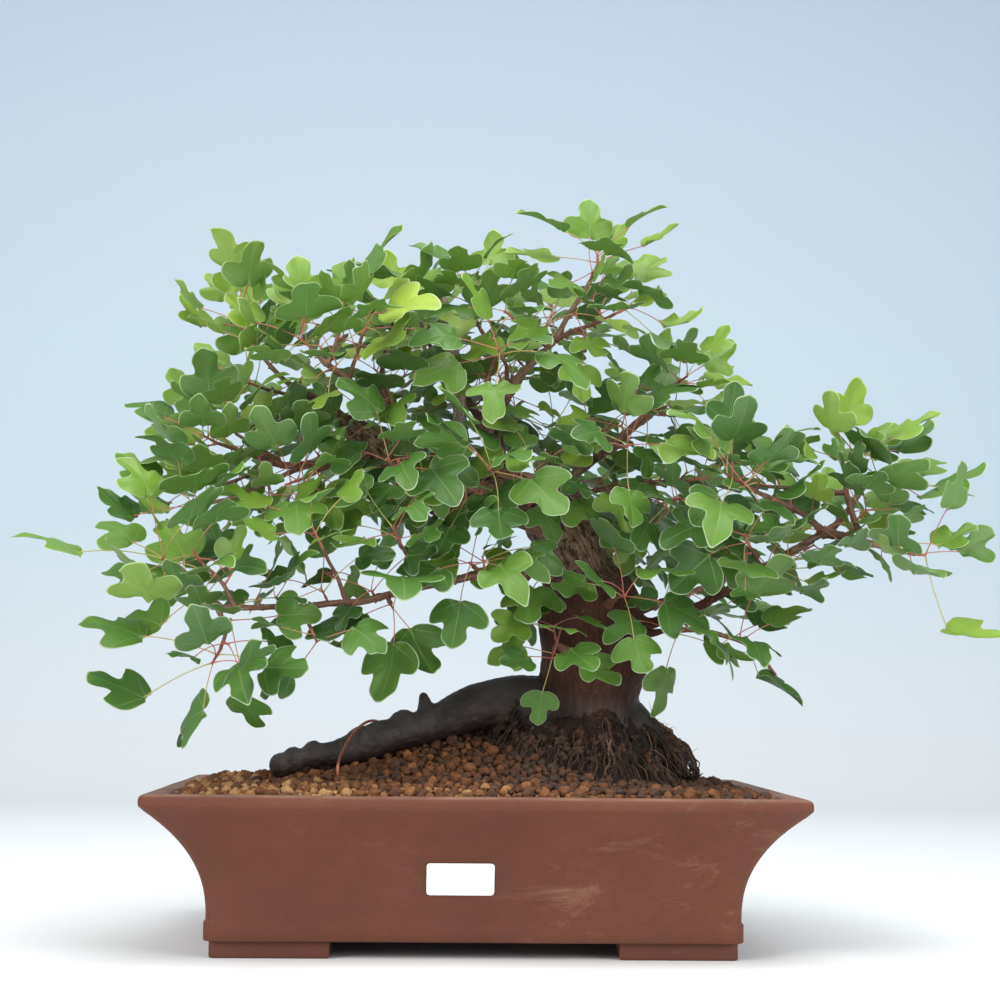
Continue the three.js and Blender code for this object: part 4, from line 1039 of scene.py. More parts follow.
earth_patch = root_earth.noise(38.0, detail=3.0)
earth_color = root_earth.ramp(earth_grit, [
    (0.30, (0.006, 0.004, 0.003)), (0.50, (0.022, 0.010, 0.006)), (0.68, (0.062, 0.025, 0.012)),
])
earth_color = root_earth.mix(
    root_earth.math("MULTIPLY", root_earth.span(earth_patch, 0.48, 0.66), root_earth.span(earth_grit, 0.42, 0.62)),
    earth_color, (0.130, 0.045, 0.017),
)
ball_mesh = mesh_from("root_ball", ball_skin, ball_sides)
root_ball = add_object(
    "root_ball", ball_mesh, [root_earth.finish(color=earth_color, bumps=[(earth_grit, 0.0016, 0.8)])]
)
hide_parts("soil")
wood_tree = BVHTree.FromPolygons(
    [tuple(p) for p in moved] + [tuple(p) for p in ball_skin],
    [tuple(polygon.vertices) for polygon in wood_mesh.polygons]
    + [tuple(i + len(moved) for i in face) for face in ball_sides],
)


def wood_gap(place):
    """Distance from a place to the wood's surface, negative inside it, with the way out of it."""
    near, way, _, _ = wood_tree.find_nearest(Vector(place))
    apart = Vector(place) - near
    inside = apart.dot(way) < 0
    return (-apart.length if inside else apart.length), near, way


draw = random.Random(41)
fibre_parts, fibre_tones = [], []


def add_fibre(points, radius, tone, sides=5):
    rows = np.array([[*p, radius * (1 - 0.75 * i / (len(points) - 1))] for i, p in enumerate(points)])
    made, faces, _ = tube(rows, sides)
    fibre_parts.append((made, faces))
    fibre_tones.append(np.full(len(made), tone))


for strand in range(760):
    angle = math.radians(draw.triangular(-230, 70, -75))
    high = draw.uniform(4, 60 if strand % 3 else 40)
    place = Vector((
        pot_x + (middle_x + 60 * math.cos(angle)) * mm, pot_y + (middle_y + 60 * math.sin(angle)) * mm, rim + high * mm
    ))
    gap_here, near, way = wood_gap(place)
    if gap_here > 40 * mm:
        continue
    stand_off = draw.uniform(-0.2, 1.2) * mm
    place = near + way * stand_off
    path = [place.copy()]
    swirl = draw.uniform(0, 100)
    for step in range(26):
        outward = Vector((place.x - pot_x - middle_x * mm, place.y - pot_y - middle_y * mm, 0)).normalized()
        wander = noise.noise_vector(Vector((step * 0.32, swirl, strand * 1.7))) * 1.25
        way_down = (Vector((0, 0, -1)) + outward * draw.uniform(0.3, 0.9) + wander).normalized()
        place = place + way_down * 3.2 * mm
        gap_here, near, way = wood_gap(place)
        stand_off += draw.uniform(0.0, 0.32) * mm
        if gap_here < stand_off:
            place = near + way * stand_off
        elif gap_here > stand_off + 7 * mm:
            place = near + (place - near).normalized() * (stand_off + 7 * mm)
        path.append(place.copy())
        if place.z < rim + (soil_top(place.x - pot_x, place.y - pot_y) - rim) - 3 * mm:
            break
    if len(path) > 3:
        add_fibre(path, draw.choice((0.25, 0.3, 0.4, 0.5, 0.7, 1.1)) * mm, draw.random())
for hair in range(150):
    if hair % 3 == 0:
        share = draw.random()
        foot = Vector((pot_x + (122 + 26 * share) * mm, pot_y - (14 + 17 * share) * mm, rim + (47 - 27 * share) * mm))
    else:
        angle = math.radians(draw.uniform(-150, 20))
        foot = Vector((
            pot_x + (middle_x + 62 * math.cos(angle)) * mm, pot_y + (middle_y + 55 * math.sin(angle)) * mm,
            rim + draw.uniform(8, 48) * mm,
        ))
    _, near, way = wood_gap(foot)
    if near.z < rim + 4 * mm:
        continue
    heading = (way + Vector((draw.uniform(-1, 1), draw.uniform(-1, 1), draw.uniform(-1.1, 0.7))) * 0.8).normalized()
    path = [near.copy()]
    reach = draw.choice((6, 8, 11, 15)) * mm
    for step in range(7):
        heading = (heading + noise.noise_vector(Vector((step * 0.5, hair * 2.3, 5.0))) * 0.7).normalized()
        path.append(path[-1] + heading * reach / 7)
    add_fibre(path, draw.uniform(0.14, 0.3) * mm, draw.uniform(0.3, 1.0), sides=4)
fibre = Nodes("fine_roots", roughness=0.8)
fibre_tone = fibre.attribute("tone")
fibre_color = fibre.ramp(fibre_tone, [
    (0.0, (0.010, 0.006, 0.005)), (0.6, (0.030, 0.015, 0.010)), (0.85, (0.075, 0.036, 0.021)), (1.0, (0.170, 0.090, 0.050)),
])
fibre_grit = fibre.noise(700.0, detail=4.0, roughness=0.7)
fibre_color = fibre.mix(fibre.span(fibre_grit, 0.55, 0.70, 0.0, 0.6), fibre_color, (0.150, 0.062, 0.030))
points, faces = join(fibre_parts)
fibre_mesh = mesh_from("root_mat", points, faces)
tint(fibre_mesh, "tone", np.concatenate(fibre_tones))
root_mat = add_object("root_mat", fibre_mesh, [fibre.finish(color=fibre_color, bumps=[(fibre_grit, 0.0006, 0.6)])])
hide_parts("wood")


# Tie wire: soft copper-coloured wire pushed up through a drain hole, pulled tight over the root and
# turned flat under the pot to hold the tree until its roots take.
hole_x = -85
under = 9 - 106
wire_run = [
    [hole_x - 36, -12, under, 1], [hole_x - 12, -12, under, 1], [hole_x - 4, -12, under + 3, 1],
    [hole_x - 1, -12, under + 12, 1], [hole_x - 1, -12.5, under + 26, 1], [-88, -58, -16, 1],
    [-93, -69, 14, 1], [-89, -56, 28, 1], [-82, -42, 39.5, 1], [-74, -31, 45.5, 1], [-67, -19, 45, 1],
    [-61, -8, 38, 1], [-60, 4, 20, 1], [-68, 14, -30, 1], [hole_x + 1, 12.5, under + 26, 1],
    [hole_x + 1, 12, under + 12, 1], [hole_x + 4, 12, under + 3, 1], [hole_x + 12, 12, under, 1],
    [hole_x + 36, 12, under, 1],
]
wire_points, wire_faces, _ = tube(smooth_run(wire_run, 1.5), 12, cap=0.15)
copper = Nodes("copper_wire", roughness=0.38, metallic=0.85)
scuffs = copper.noise(800.0, detail=4.0)
copper_color = copper.ramp(scuffs, [(0.3, (0.26, 0.085, 0.045)), (0.6, (0.56, 0.21, 0.115)), (0.8, (0.70, 0.32, 0.20))])
wire = add_object(
    "tie_wire", mesh_from("tie_wire_round", wire_points, wire_faces),
    [copper.finish(color=copper_color, roughness=copper.span(scuffs, 0.3, 0.7, 0.3, 0.55))],
)
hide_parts("tie_wire")


# Soil: baked clay grains, three to nine millimetres across, heaped into a mound under the tree and
# packed between its roots. A solid bed lies below them, and loose grains are set all over its top.
bed_across, bed_deep = 120, 84
bed_points, bed_faces = [], []
for row in range(bed_deep + 1):
    for column in range(bed_across + 1):
        x = soil_half_x * (2 * column / bed_across - 1)
        y = soil_half_y * (2 * row / bed_deep - 1)
        bed_points.append((pot_x + x, pot_y + y, soil_top(x, y) - 2.5 * mm))
for row in range(bed_deep):
    for column in range(bed_across):
        a = row * (bed_across + 1) + column
        bed_faces.append((a, a + 1, a + bed_across + 2, a + bed_across + 1))
edge = list(range(bed_across + 1))
edge += [row * (bed_across + 1) + bed_across for row in range(1, bed_deep + 1)]
edge += [bed_deep * (bed_across + 1) + column for column in range(bed_across - 1, -1, -1)]
edge += [row * (bed_across + 1) for row in range(bed_deep - 1, 0, -1)]
below = len(bed_points)
for index in edge:
    x, y, _ = bed_points[index]
    share_x = (body_half_x - wall_thick - 2 * mm) / soil_half_x
    share_y = (body_half_y - wall_thick - 2 * mm) / soil_half_y
    bed_points.append((pot_x + (x - pot_x) * share_x, pot_y + (y - pot_y) * share_y, rim - 30 * mm))
for step, index in enumerate(edge):
    after = (step + 1) % len(edge)
    bed_faces.append((index, below + step, below + after, edge[after]))
bed_faces.append(tuple(range(below + len(edge) - 1, below - 1, -1)))


def grain_tone_and_shade(x, y, pick):
    """0 is dark, 1 is golden. Each grain differs at random and in patches; besides that the soil is painted darker by
    the trunk and to the right, as shade under the crown, and golden towards the left and the front.
    """
    left = min(1.0, max(0.0, (-60 * mm - x) / (70 * mm)))
    front = min(1.0, max(0.0, (-y - 92 * mm) / (34 * mm))) * min(1.0, max(0.0, (110 * mm - x) / (60 * mm)))
    # Painted shade: a dark patch round the trunk, under the crown.
    dark = math.exp(-(((x - 95 * mm) / (80 * mm)) ** 2 + ((y + 5 * mm) / (90 * mm)) ** 2))
    patch = 0.5 + 0.5 * noise.noise(Vector((x * 14, y * 14, 9.0)))
    return min(1.0, max(0.0, 0.44 + 0.26 * max(left, front) - 0.34 * dark + 0.30 * (patch - 0.5) + 0.62 * (pick - 0.5)))


grains = Nodes("baked_clay_grains", roughness=0.85)
shade = grains.attribute("shade")
grain_color = grains.ramp(shade, [
    (0.00, (0.014, 0.005, 0.003)), (0.20, (0.036, 0.011, 0.004)), (0.42, (0.088, 0.026, 0.007)),
    (0.62, (0.165, 0.052, 0.012)), (0.80, (0.300, 0.120, 0.033)), (1.00, (0.500, 0.280, 0.110)),
])
grain_fine = grains.noise(900.0, detail=5.0, roughness=0.75)
grain_broad = grains.noise(260.0, detail=3.0)
grain_color = grains.mix(grains.span(grain_fine, 0.35, 0.70, 0.0, 0.55), grain_color, grains.mix(0.25, grain_color, (0.60, 0.36, 0.19)))
grain_color = grains.mix(
    grains.span(grain_broad, 0.30, 0.50, 0.55, 0.0), grain_color, grains.mix(0.65, grain_color, (0.02, 0.008, 0.006))
)
grain_finish = grains.finish(
    color=grain_color,
    roughness=grains.span(shade, 0.0, 0.5, 0.62, 0.90),
    bumps=[(grain_fine, 0.0010, 0.6), (grain_broad, 0.0014, 0.5)],
)
bed_mesh = mesh_from("soil_bed", bed_points, bed_faces)
# The bed is painted near the dark end of the grain colours, as shade in the gaps between the loose grains.
tint(bed_mesh, "shade", [0.12] * len(bed_points))
bed = add_object("soil_bed", bed_mesh, [grain_finish])
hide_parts("soil")


def grain_mesh(name, placed, levels):
    """One mesh of many grains, each a ball knocked into a worn lump. placed: x, y, z, radius, shade."""
    points, faces = ball(levels)
    draw = np.random.default_rng(len(placed) + levels)
    count = len(placed)
    rows = np.array([p[:5] for p in placed])
    every = np.repeat(points[None], count, axis=0)
    for _ in range(4):
        facing = draw.normal(size=(count, 3))
        facing /= np.linalg.norm(facing, axis=1, keepdims=True)
        flat = draw.uniform(0.62, 0.9, (count, 1))
        over = np.maximum(0, (every * facing[:, None]).sum(2) - flat)
        every -= over[..., None] * facing[:, None]
    every *= draw.uniform(0.72, 1.18, (count, 1, 3))
    every *= 1 + 0.10 * draw.normal(size=(count, len(points), 1))
    turn = draw.uniform(0, 2 * math.pi, count)
    cos, sin = np.cos(turn)[:, None], np.sin(turn)[:, None]
    x = every[..., 0] * cos - every[..., 1] * sin
    y = every[..., 0] * sin + every[..., 1] * cos
    every = np.stack([x, y, every[..., 2]], axis=2) * rows[:, None, 3:4] + rows[:, None, :3]
    every = every.reshape(-1, 3)
    all_faces = (faces[None] + (np.arange(count) * len(points))[:, None, None]).reshape(-1, 3)
    mesh = bpy.data.meshes.new(name)
    mesh.vertices.add(len(every))
    mesh.vertices.foreach_set("co", every.ravel())
    mesh.loops.add(len(all_faces) * 3)
    mesh.loops.foreach_set("vertex_index", all_faces.ravel())
    mesh.polygons.add(len(all_faces))
    mesh.polygons.foreach_set("loop_start", np.arange(len(all_faces)) * 3)
    mesh.polygons.foreach_set("loop_total", np.full(len(all_faces), 3))
    mesh.polygons.foreach_set("use_smooth", np.full(len(all_faces), levels > 1))
    mesh.update()
    tint(mesh, "shade", np.repeat(rows[:, 4], len(points)))
    return mesh


# Loose grains. Coarse ones go down first and finer ones fill in; none is set inside the wood.
draw = random.Random(7)
cell = 4 * mm
taken_cells = {}


def room_for(x, y, radius, share):
    near_x, near_y = int(x // cell), int(y // cell)
    for ix in range(near_x - 2, near_x + 3):
        for iy in range(near_y - 2, near_y + 3):
            for ox, oy, other in taken_cells.get((ix, iy), ()):
                if (x - ox) ** 2 + (y - oy) ** 2 < (share * (radius + other)) ** 2:
                    return False
    taken_cells.setdefault((near_x, near_y), []).append((x, y, radius))
    return True


near_grains, far_grains = [], []
for count, low, high, share in ((9000, 2.5, 4.3, 0.86), (16000, 1.6, 2.8, 0.74), (16000, 0.9, 1.6, 0.62)):
    for _ in range(count):
        x = draw.uniform(-soil_half_x, soil_half_x)
        y = draw.uniform(-soil_half_y, soil_half_y)
        radius = draw.uniform(low, high) * mm
        if abs(x) > soil_half_x - radius or abs(y) > soil_half_y - radius:
            continue
        if high < 1.7 and y > -60 * mm:
            continue
        if high < 2.9 and y > 20 * mm:
            continue
        if not room_for(x, y, radius, share):
            continue
        z = soil_top(x, y) - 2.5 * mm + radius * draw.uniform(0.35, 0.8)
        place = (pot_x + x, pot_y + y, z)
        gap_here, _, _ = wood_gap(place)
        if gap_here < radius * 0.25:
            continue
        row = (*place, radius, grain_tone_and_shade(x, y, draw.random()))
        (near_grains if y < -45 * mm and radius > 2.0 * mm else far_grains).append(row)
print("grains", len(near_grains), len(far_grains))
for start in range(0, len(near_grains), 600):
    piece = add_object(
        f"soil_grains_near_{start // 600 + 1}", grain_mesh("grains", near_grains[start : start + 600], 2), [grain_finish]
    )
    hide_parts("soil")
for start in range(0, len(far_grains), 2400):
    piece = add_object(
        f"soil_grains_far_{start // 2400 + 1}", grain_mesh("grains", far_grains[start : start + 2400], 1), [grain_finish]
    )
    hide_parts("soil")

# Grit and clods caught in the root mat.
clods = []
for _ in range(1500):
    angle = math.radians(draw.triangular(-215, 40, -80))
    place = Vector((
        pot_x + (middle_x + 70 * math.cos(angle)) * mm, pot_y + (middle_y + 60 * math.sin(angle)) * mm,
        rim + draw.uniform(10, 50) * mm,
    ))
    _, near, way = wood_gap(place)
    if near.z > rim + draw.uniform(20, 56) * mm or near.x < pot_x + 5 * mm:
        continue
    radius = draw.choice((0.6, 0.8, 1.1, 1.5, 2.2)) * mm
    spot = near + way * draw.uniform(0.0, 2.4) * mm
    clods.append((*spot, radius, draw.uniform(0.0, 0.34)))
piece = add_object("soil_in_roots", grain_mesh("clods", clods, 1), [grain_finish])
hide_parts("soil")


# Leafy shoots: this year's growth at the tips. Leaves stand in opposite pairs on long thin stalks,
# each pair turned a quarter round the stem from the last, and every blade has three blunt lobes.
shoot_runs = [
    [[-200, -124, 146], [-206, -134, 150], 3, 1.05, 1.45],
    [[-168, -124, 92], [-172, -134, 83], 3, 1, 1.35],
    [[-104, -100, 160], [-112, -106, 176], 3, 0.8, 1],
    [[-110, -112, 106], [-106, -116, 98], 2, 0.7, 1],
    [[-176, -110, 120], [-190, -114, 124], 2, 0.85, 1],
    [[-52, -92, 164], [-58, -100, 176], 3, 0.85, 1],
    [[-184, -28, 240], [-193, -36, 244], 3, 0.9, 1],
    [[-172, -20, 248], [-180, -26, 256], 3, 0.85, 1],
    [[-177, -26, 212], [-188, -34, 210], 3, 0.9, 1],
    [[-190, -66, 192], [-198, -76, 190], 3, 0.95, 1.1],
    [[-122, -58, 212], [-132, -74, 206], 3, 0.9, 1],
    [[-118, -61, 304], [-126, -69, 309], 3, 0.95, 1],
    [[-98, -64, 314], [-100, -70, 323], 3, 1.05, 1],
    [[-167, -30, 321], [-172, -38, 326], 3, 0.9, 0.9],
    [[-158, 4, 286], [-168, -2, 289], 3, 0.9, 0.9],
    [[-62, 6, 338], [-64, 0, 346], 3, 0.85, 0.9],
    [[-82, -60, 314], [-78, -68, 320], 3, 0.95, 1],
    [[-42, 14, 350], [-42, 8, 359], 3, 0.8, 0.9],
    [[85, -30, 371], [84, -36, 381], 3, 0.9, 1],
    [[98, -25, 339], [108, -30, 343], 3, 0.9, 1.1],
    [[-6, -22, 346], [-8, -24, 360], 3, 0.75, 0.8],
    [[28, -36, 329], [18, -42, 336], 3, 0.85, 0.9],
    [[55, 56, 348], [60, 62, 362], 3, 0.85, 1],
    [[-44, 68, 338], [-52, 76, 350], 3, 0.85, 1],
    [[16, -66, 298], [12, -78, 302], 3, 0.95, 1],
    [[142, -20, 289], [150, -28, 294], 3, 0.85, 1],
    [[152, -16, 220], [166, -20, 222], 3, 0.85, 0.9],
    [[140, 34, 284], [146, 48, 292], 3, 0.85, 1],
    [[102, -56, 238], [104, -70, 238], 3, 0.95, 1],
    [[134, -48, 202], [142, -60, 202], 3, 0.9, 1],
    [[300, -80, 164], [306, -85, 163], 2, 1, 1.5],
    [[259, -58, 228], [262, -66, 234], 3, 1, 1.15],
    [[276, -45, 216], [282, -53, 220], 3, 0.95, 1.25],
    [[206, -40, 214], [192, -34, 218], 3, 0.9, 1],
    [[181, -84, 210], [168, -92, 216], 3, 1, 1],
    [[184, 4, 176], [186, 12, 190], 3, 0.9, 1],
    [[188, -70, 168], [182, -82, 176], 3, 0.95, 1],
    [[176, -48, 107], [187, -56, 106], 3, 1, 0.9],
    [[0, -38, 199], [-12, -48, 204], 3, 0.9, 1],
    [[38, -36, 212], [42, -46, 224], 3, 0.95, 1],
    [[12, -84, 216], [6, -96, 216], 3, 0.95, 1],
    [[-56, -66, 220], [-64, -78, 224], 3, 0.95, 1],
    [[54, -54, 96], [52, -64, 90], 3, 0.72, 0.8],
    [[100, -54, 134], [102, -66, 134], 3, 0.95, 1],
    [[112, 142, 220], [118, 156, 224], 3, 0.95, 1],
    [[150, 106, 216], [164, 112, 222], 3, 0.95, 1],
    [[-58, 138, 246], [-62, 152, 250], 3, 0.95, 1],
    [[-100, 98, 250], [-116, 102, 254], 3, 0.95, 1],
    [[200, 118, 156], [214, 126, 160], 3, 0.95, 1],
    [[60, 86, 260], [62, 98, 272], 3, 0.9, 1],
    [[-184, -102, 150], [-189, -109, 157], 3, 0.95, 1.2],
    [[-2, -71, 152], [-6, -80, 154], 3, 0.95, 1.1],
    [[-60, -91, 126], [-57, -99, 122], 2, 1.1, 0.8],
]

leaf_width = 42.0
leaf_length = 35.0
stalk_length = 30.0
stem_radius = 1.4
clearance = 10.5
wood_clearance = 5.0
gap = 0.3
leaf_samples = np.array([
    [0, 0.1], [0, 0.32], [0, 0.55], [0, 0.78], [0, 0.95], [-0.3, 0.2], [0.3, 0.2], [-0.58, 0.28],
    [0.58, 0.28], [-0.85, 0.36], [0.85, 0.36],
])


def draws(shoot, leaf):
    """Four numbers from 0 to 1 that belong to one leaf's place in the tree."""
    state = (shoot * 7919 + leaf * 104729 + 12345) % 2147483647
    numbers = []
    for _ in range(7):
        state = (state * 16807) % 2147483647
        numbers.append(state / 2147483647)
    return numbers[3:]


def unit(vector):
    return vector / np.linalg.norm(vector)


taken = []


def take_limb(points):
    for (x0, y0, z0, r0), (x1, y1, z1, r1) in zip(points, points[1:]):
        count = max(1, math.ceil(math.dist((x0, y0, z0), (x1, y1, z1)) / 6))
        for step in range(count + 1):
            share = step / count
            taken.append((
                x0 + (x1 - x0) * share, y0 + (y1 - y0) * share, z0 + (z1 - z0) * share,
                r0 + (r1 - r0) * share + wood_clearance - clearance / 2,
            ))


def is_free(points, others, ease=1.0):
    if not len(others):
        return True
    apart = ((points[:, None, :3] - others[None, :, :3]) ** 2).sum(2)
    return not (apart < (ease * (points[:, None, 3] + others[None, :, 3])) ** 2).any()


def leaf_frame(base, stem_way, shoot, leaf, size, stalk_share, attempt):
    """A leaf's stalk ends, its midrib, breadth and face directions, and its blade's scale."""
    draw_a, draw_b, draw_c, draw_d = draws(shoot, leaf)
    pair = leaf // 2
    swing = (0, 0.35, -0.35, 0.7, -0.7, 1.05, -1.05, 0, 0)[attempt % 9]
    lift = (0, 0, 0, 0.3, -0.35, 0.4, 0.2, -0.5, -0.8)[attempt % 9]
    stretch = (1, 0.7, 1.25, 0.5)[attempt // 9]
    turn = (leaf % 2) * math.pi + pair * math.pi / 2 + (draw_a - 0.5) * 0.7 + swing
    over = np.array((1.0, 0, 0) if abs(stem_way[2]) > 0.9 else (0, 0, 1.0))
    side_a = unit(np.cross(stem_way, over))
    side_b = np.cross(stem_way, side_a)
    way = stem_way * (0.15 + 0.25 * pair) + side_a * math.cos(turn) + side_b * math.sin(turn)
    way[2] += 0.1 + lift
    way = unit(way)
    end = base + way * stalk_length * stalk_share * stretch * (0.75 + 0.5 * draw_b)
    outward = unit(np.array((end[0] - 30, end[1] - 10, 0.5 * (end[2] - 190))))
    midrib = way * 0.8 + outward * 0.2
    midrib[2] -= 0.35 + 0.45 * draw_c
    midrib = unit(midrib + way * max(0, 0.35 - midrib @ way))
    face = outward * 0.75 + np.array(((draw_d - 0.5) * 0.7, (draw_a - 0.5) * 0.5 - 0.25, 1))
    face = unit(face - midrib * (face @ midrib))
    return base, end, midrib, np.cross(midrib, face), face, size * (0.82 + 0.36 * draw_c)


def leaf_spheres(frame_of_leaf):
    start, end, midrib, broad, _, blade = frame_of_leaf
    x, y = leaf_samples[:, :1], leaf_samples[:, 1:]
    places = end + broad * (x * blade * leaf_width / 2) + midrib * (y * blade * leaf_length)
    rows = [np.concatenate([places, np.full((len(places), 1), clearance / 2)], axis=1)]
    count = math.ceil(np.linalg.norm(end - start) / 6)
    for step in range(1, count):
        rows.append(np.array([[*(start + (end - start) * step / count), 0 if step < 2 else 1.5]]))
    return np.concatenate(rows)


for run in [trunk_run, bend_run, surface_root_run, *root_runs, *limb_runs]:
    take_limb(run)
for start, end, *_ in shoot_runs:
    take_limb([[*start, 0], [*end, 0]])
taken = np.array(taken, dtype=float)
sprays = []
for shoot, (start, end, pairs, size, stalk_share) in enumerate(shoot_runs):
    root, tip = np.array(start, dtype=float), np.array(end, dtype=float)
    way = unit(tip - root)
    base = root + way * (gap + 0.6 * stem_radius)
    own, leaves = [], []
    for leaf in range(2 * pairs):
        node = base + (tip - base) * (0.3 + 0.66 * (leaf // 2) / max(1, pairs - 1))
        for attempt in range(36):
            made = leaf_frame(node, way, shoot, leaf, size * (1 if attempt < 27 else 0.8), stalk_share, attempt)
            spheres = leaf_spheres(made)
            if is_free(spheres, taken) and is_free(spheres, np.array(own)):
                own += list(spheres)
                leaves.append((leaf, made))
                break
    taken = np.concatenate([taken, np.array(own)])
    sprays.append({"root": root, "base": base, "tip": tip, "way": way, "leaves": leaves})
print("leaves", [len(spray["leaves"]) for spray in sprays], sum(len(spray["leaves"]) for spray in sprays))

# Short spurs along the limbs carry a few leaves each, wherever there is room for them.
spur_draw = random.Random(77)
spur_spacing = 16.0
spur = 200
for number, run in enumerate(limb_runs):
    line = np.array(run, dtype=float)
    far = np.concatenate([[0], np.cumsum(np.linalg.norm(np.diff(line[:, :3], axis=0), axis=1))])
    at = spur_draw.uniform(10, 18)
    while at < far[-1] + 2:
        place = np.array([np.interp(at, far, line[:, axis]) for axis in range(4)])
        ahead = np.array([np.interp(at + 2, far, line[:, axis]) for axis in range(3)])
        behind = np.array([np.interp(at - 2, far, line[:, axis]) for axis in range(3)])
        at += spur_draw.uniform(0.8, 1.2) * spur_spacing
        wish = np.array([spur_draw.uniform(-1, 1), spur_draw.uniform(-1, 1) - 0.35, spur_draw.uniform(-1, 1) + 0.25])
        reach = spur_draw.choice((5, 8, 12))
        before_trunk = 10 < place[0] < 125 and place[1] < 30 and 40 < place[2] < 240
        before_apex = -25 < place[0] < 80 and place[1] < 0 and 225 < place[2] < 330
        low_left = place[0] < 40 and place[2] < 180
        low_right = place[0] > 100 and place[2] < 150
        skipped = 0.06 + 0.60 * before_trunk + 0.42 * before_apex + 0.55 * low_left + 0.80 * low_right
        if place[3] > 5.5 or run[0][:3] == [-10, 2, 222] or spur_draw.random() < skipped:
            continue
        along = unit(ahead - behind)
        way = unit(unit(wish - along * (wish @ along)) + along * 0.5)
        root = place[:3] + way * place[3] * 0.6
        tip = root + way * (place[3] * 0.4 + reach)
        own, leaves = [], []
        spur += 1
        size = 0.64 + 0.26 * spur_draw.random()
        for leaf in range(4):
            node = root + (tip - root) * (0.7 if leaf < 2 else 1)
            for attempt in range(36):
                made = leaf_frame(node, way, spur, leaf, size, 0.95, attempt)
                spheres = leaf_spheres(made)
                if is_free(spheres, taken, 0.82) and is_free(spheres, np.array(own), 0.82):
                    own += list(spheres)
                    leaves.append((leaf, made))
                    break
        if leaves:
            taken = np.concatenate([taken, np.array(own)])
            near = min(range(len(shoot_runs)), key=lambda i: np.linalg.norm(sprays[i]["tip"] - tip))
            sprays[near].setdefault("spurs", []).append({"root": root, "tip": tip, "leaves": leaves})
print("spur leaves", sum(len(grown["leaves"]) for spray in sprays for grown in spray.get("spurs", [])))

lobe = np.array([
    (0, 0.0), (0.12, -0.035), (0.28, -0.05), (0.48, -0.03), (0.70, 0.03), (0.90, 0.13), (1.02, 0.25),
    (1.03, 0.37), (0.94, 0.47), (0.78, 0.515), (0.62, 0.515), (0.49, 0.50), (0.415, 0.525), (0.395, 0.60),
    (0.42, 0.69), (0.43, 0.78), (0.38, 0.87), (0.27, 0.95), (0.13, 1.0), (0, 1.03),
])
rings = (0.30, 0.58, 0.82, 0.94, 1.0)
vein_x, vein_y = math.sin(math.radians(60)), math.cos(math.radians(60))


def blade_mesh(leaf_frame_of, seed, young):
    """Points, faces and blade coordinates of one leaf blade: thin, folded, drooping and wavy."""
    _, end, midrib, broad, face, blade = leaf_frame_of
    draw = random.Random(seed)
    half = lobe.copy()
    edge = []
    for mirror in (1, -1):
        wide = draw.uniform(0.92, 1.06)
        notch = draw.uniform(-0.05, 0.06)
        lean = draw.uniform(-0.05, 0.05)
        shoulder = draw.uniform(0, 0.07)
        part = []
        for index, (x, y) in enumerate(half):
            if 10 <= index <= 14:
                x += notch * (1 - abs(index - 12) / 3)
            if index in (7, 8):
                y += shoulder
            if index in (15, 16):
                x += shoulder * 0.6
            part.append((mirror * x * wide, y + lean * abs(x) + draw.uniform(-0.012, 0.012)))
        edge += part[:-1] if mirror > 0 else part[:0:-1]
    edge = np.array(edge)
    # an even, rounded rim: one round of corner cutting
    for _ in range(1):
        after = np.roll(edge, -1, axis=0)
        edge = np.stack([edge * 0.72 + after * 0.28, edge * 0.28 + after * 0.72], axis=1).reshape(-1, 2)
    centre = np.array((0, 0.30))
    flat = [centre[None]]
    share = [np.zeros(1)]
    for ring in rings:
        flat.append(centre + (edge - centre) * ring)
        share.append(np.full(len(edge), ring))
    flat, share = np.concatenate(flat), np.concatenate(share)
    x = flat[:, 0] * leaf_width / 2
    y = flat[:, 1] * leaf_length
    fold = draw.uniform(0.02, 0.34) + 0.25 * young
    droop = draw.uniform(-0.012, 0.022) - 0.01 * young
    side_droop = draw.uniform(-0.004, 0.020)
    wave, phase = draw.uniform(0.6, 1.6), draw.uniform(0, 6)
    lobe_fold = draw.uniform(0.0, 0.22)
    across = abs(abs(x) * vein_y - y * vein_x)
    high = fold * np.where(y < 13, abs(x), abs(x)) * 0.55
    high -= droop * np.maximum(0, y - 6) ** 2 * 0.9 + side_droop * x ** 2
    high += lobe_fold * np.minimum(across, 6) * np.clip((abs(x) - 5) / 6, 0, 1)
    angle = np.arctan2(flat[:, 0], flat[:, 1] - 0.3)
    high += wave * (share ** 3) * np.sin(angle * 5 + phase) + 0.5 * wave * (share ** 3) * np.sin(angle * 9 + 2 * phase)
    thick_here = 0.16 * (1 - share ** 4) + 0.03
    points = []
    for sign in (1, -1):
        lift = high + sign * thick_here
        points.append(
            end + broad * (x * blade)[:, None] + midrib * (y * blade)[:, None] + face * (lift * blade)[:, None]
        )
    coords = np.concatenate([
        np.stack([x, y, share], axis=1), np.stack([x, y, -share - 0.001], axis=1)
    ])
    sides, count = len(edge), len(flat)
    faces = []
    for under in (0, 1):
        shift = under * count
        for side in range(sides):
            after = (side + 1) % sides
            fan = (shift, shift + 1 + side, shift + 1 + after)
            faces.append(fan if not under else fan[::-1])
            for ring in range(len(rings) - 1):
                a = shift + 1 + ring * sides
                quad = (a + side, a + sides + side, a + sides + after, a + after)
                faces.append(quad if not under else quad[::-1])
    last = 1 + (len(rings) - 1) * sides
    for side in range(sides):
        after = (side + 1) % sides
        faces.append((last + side, last + count + side, last + count + after, last + after))
    return np.concatenate(points), faces, coords


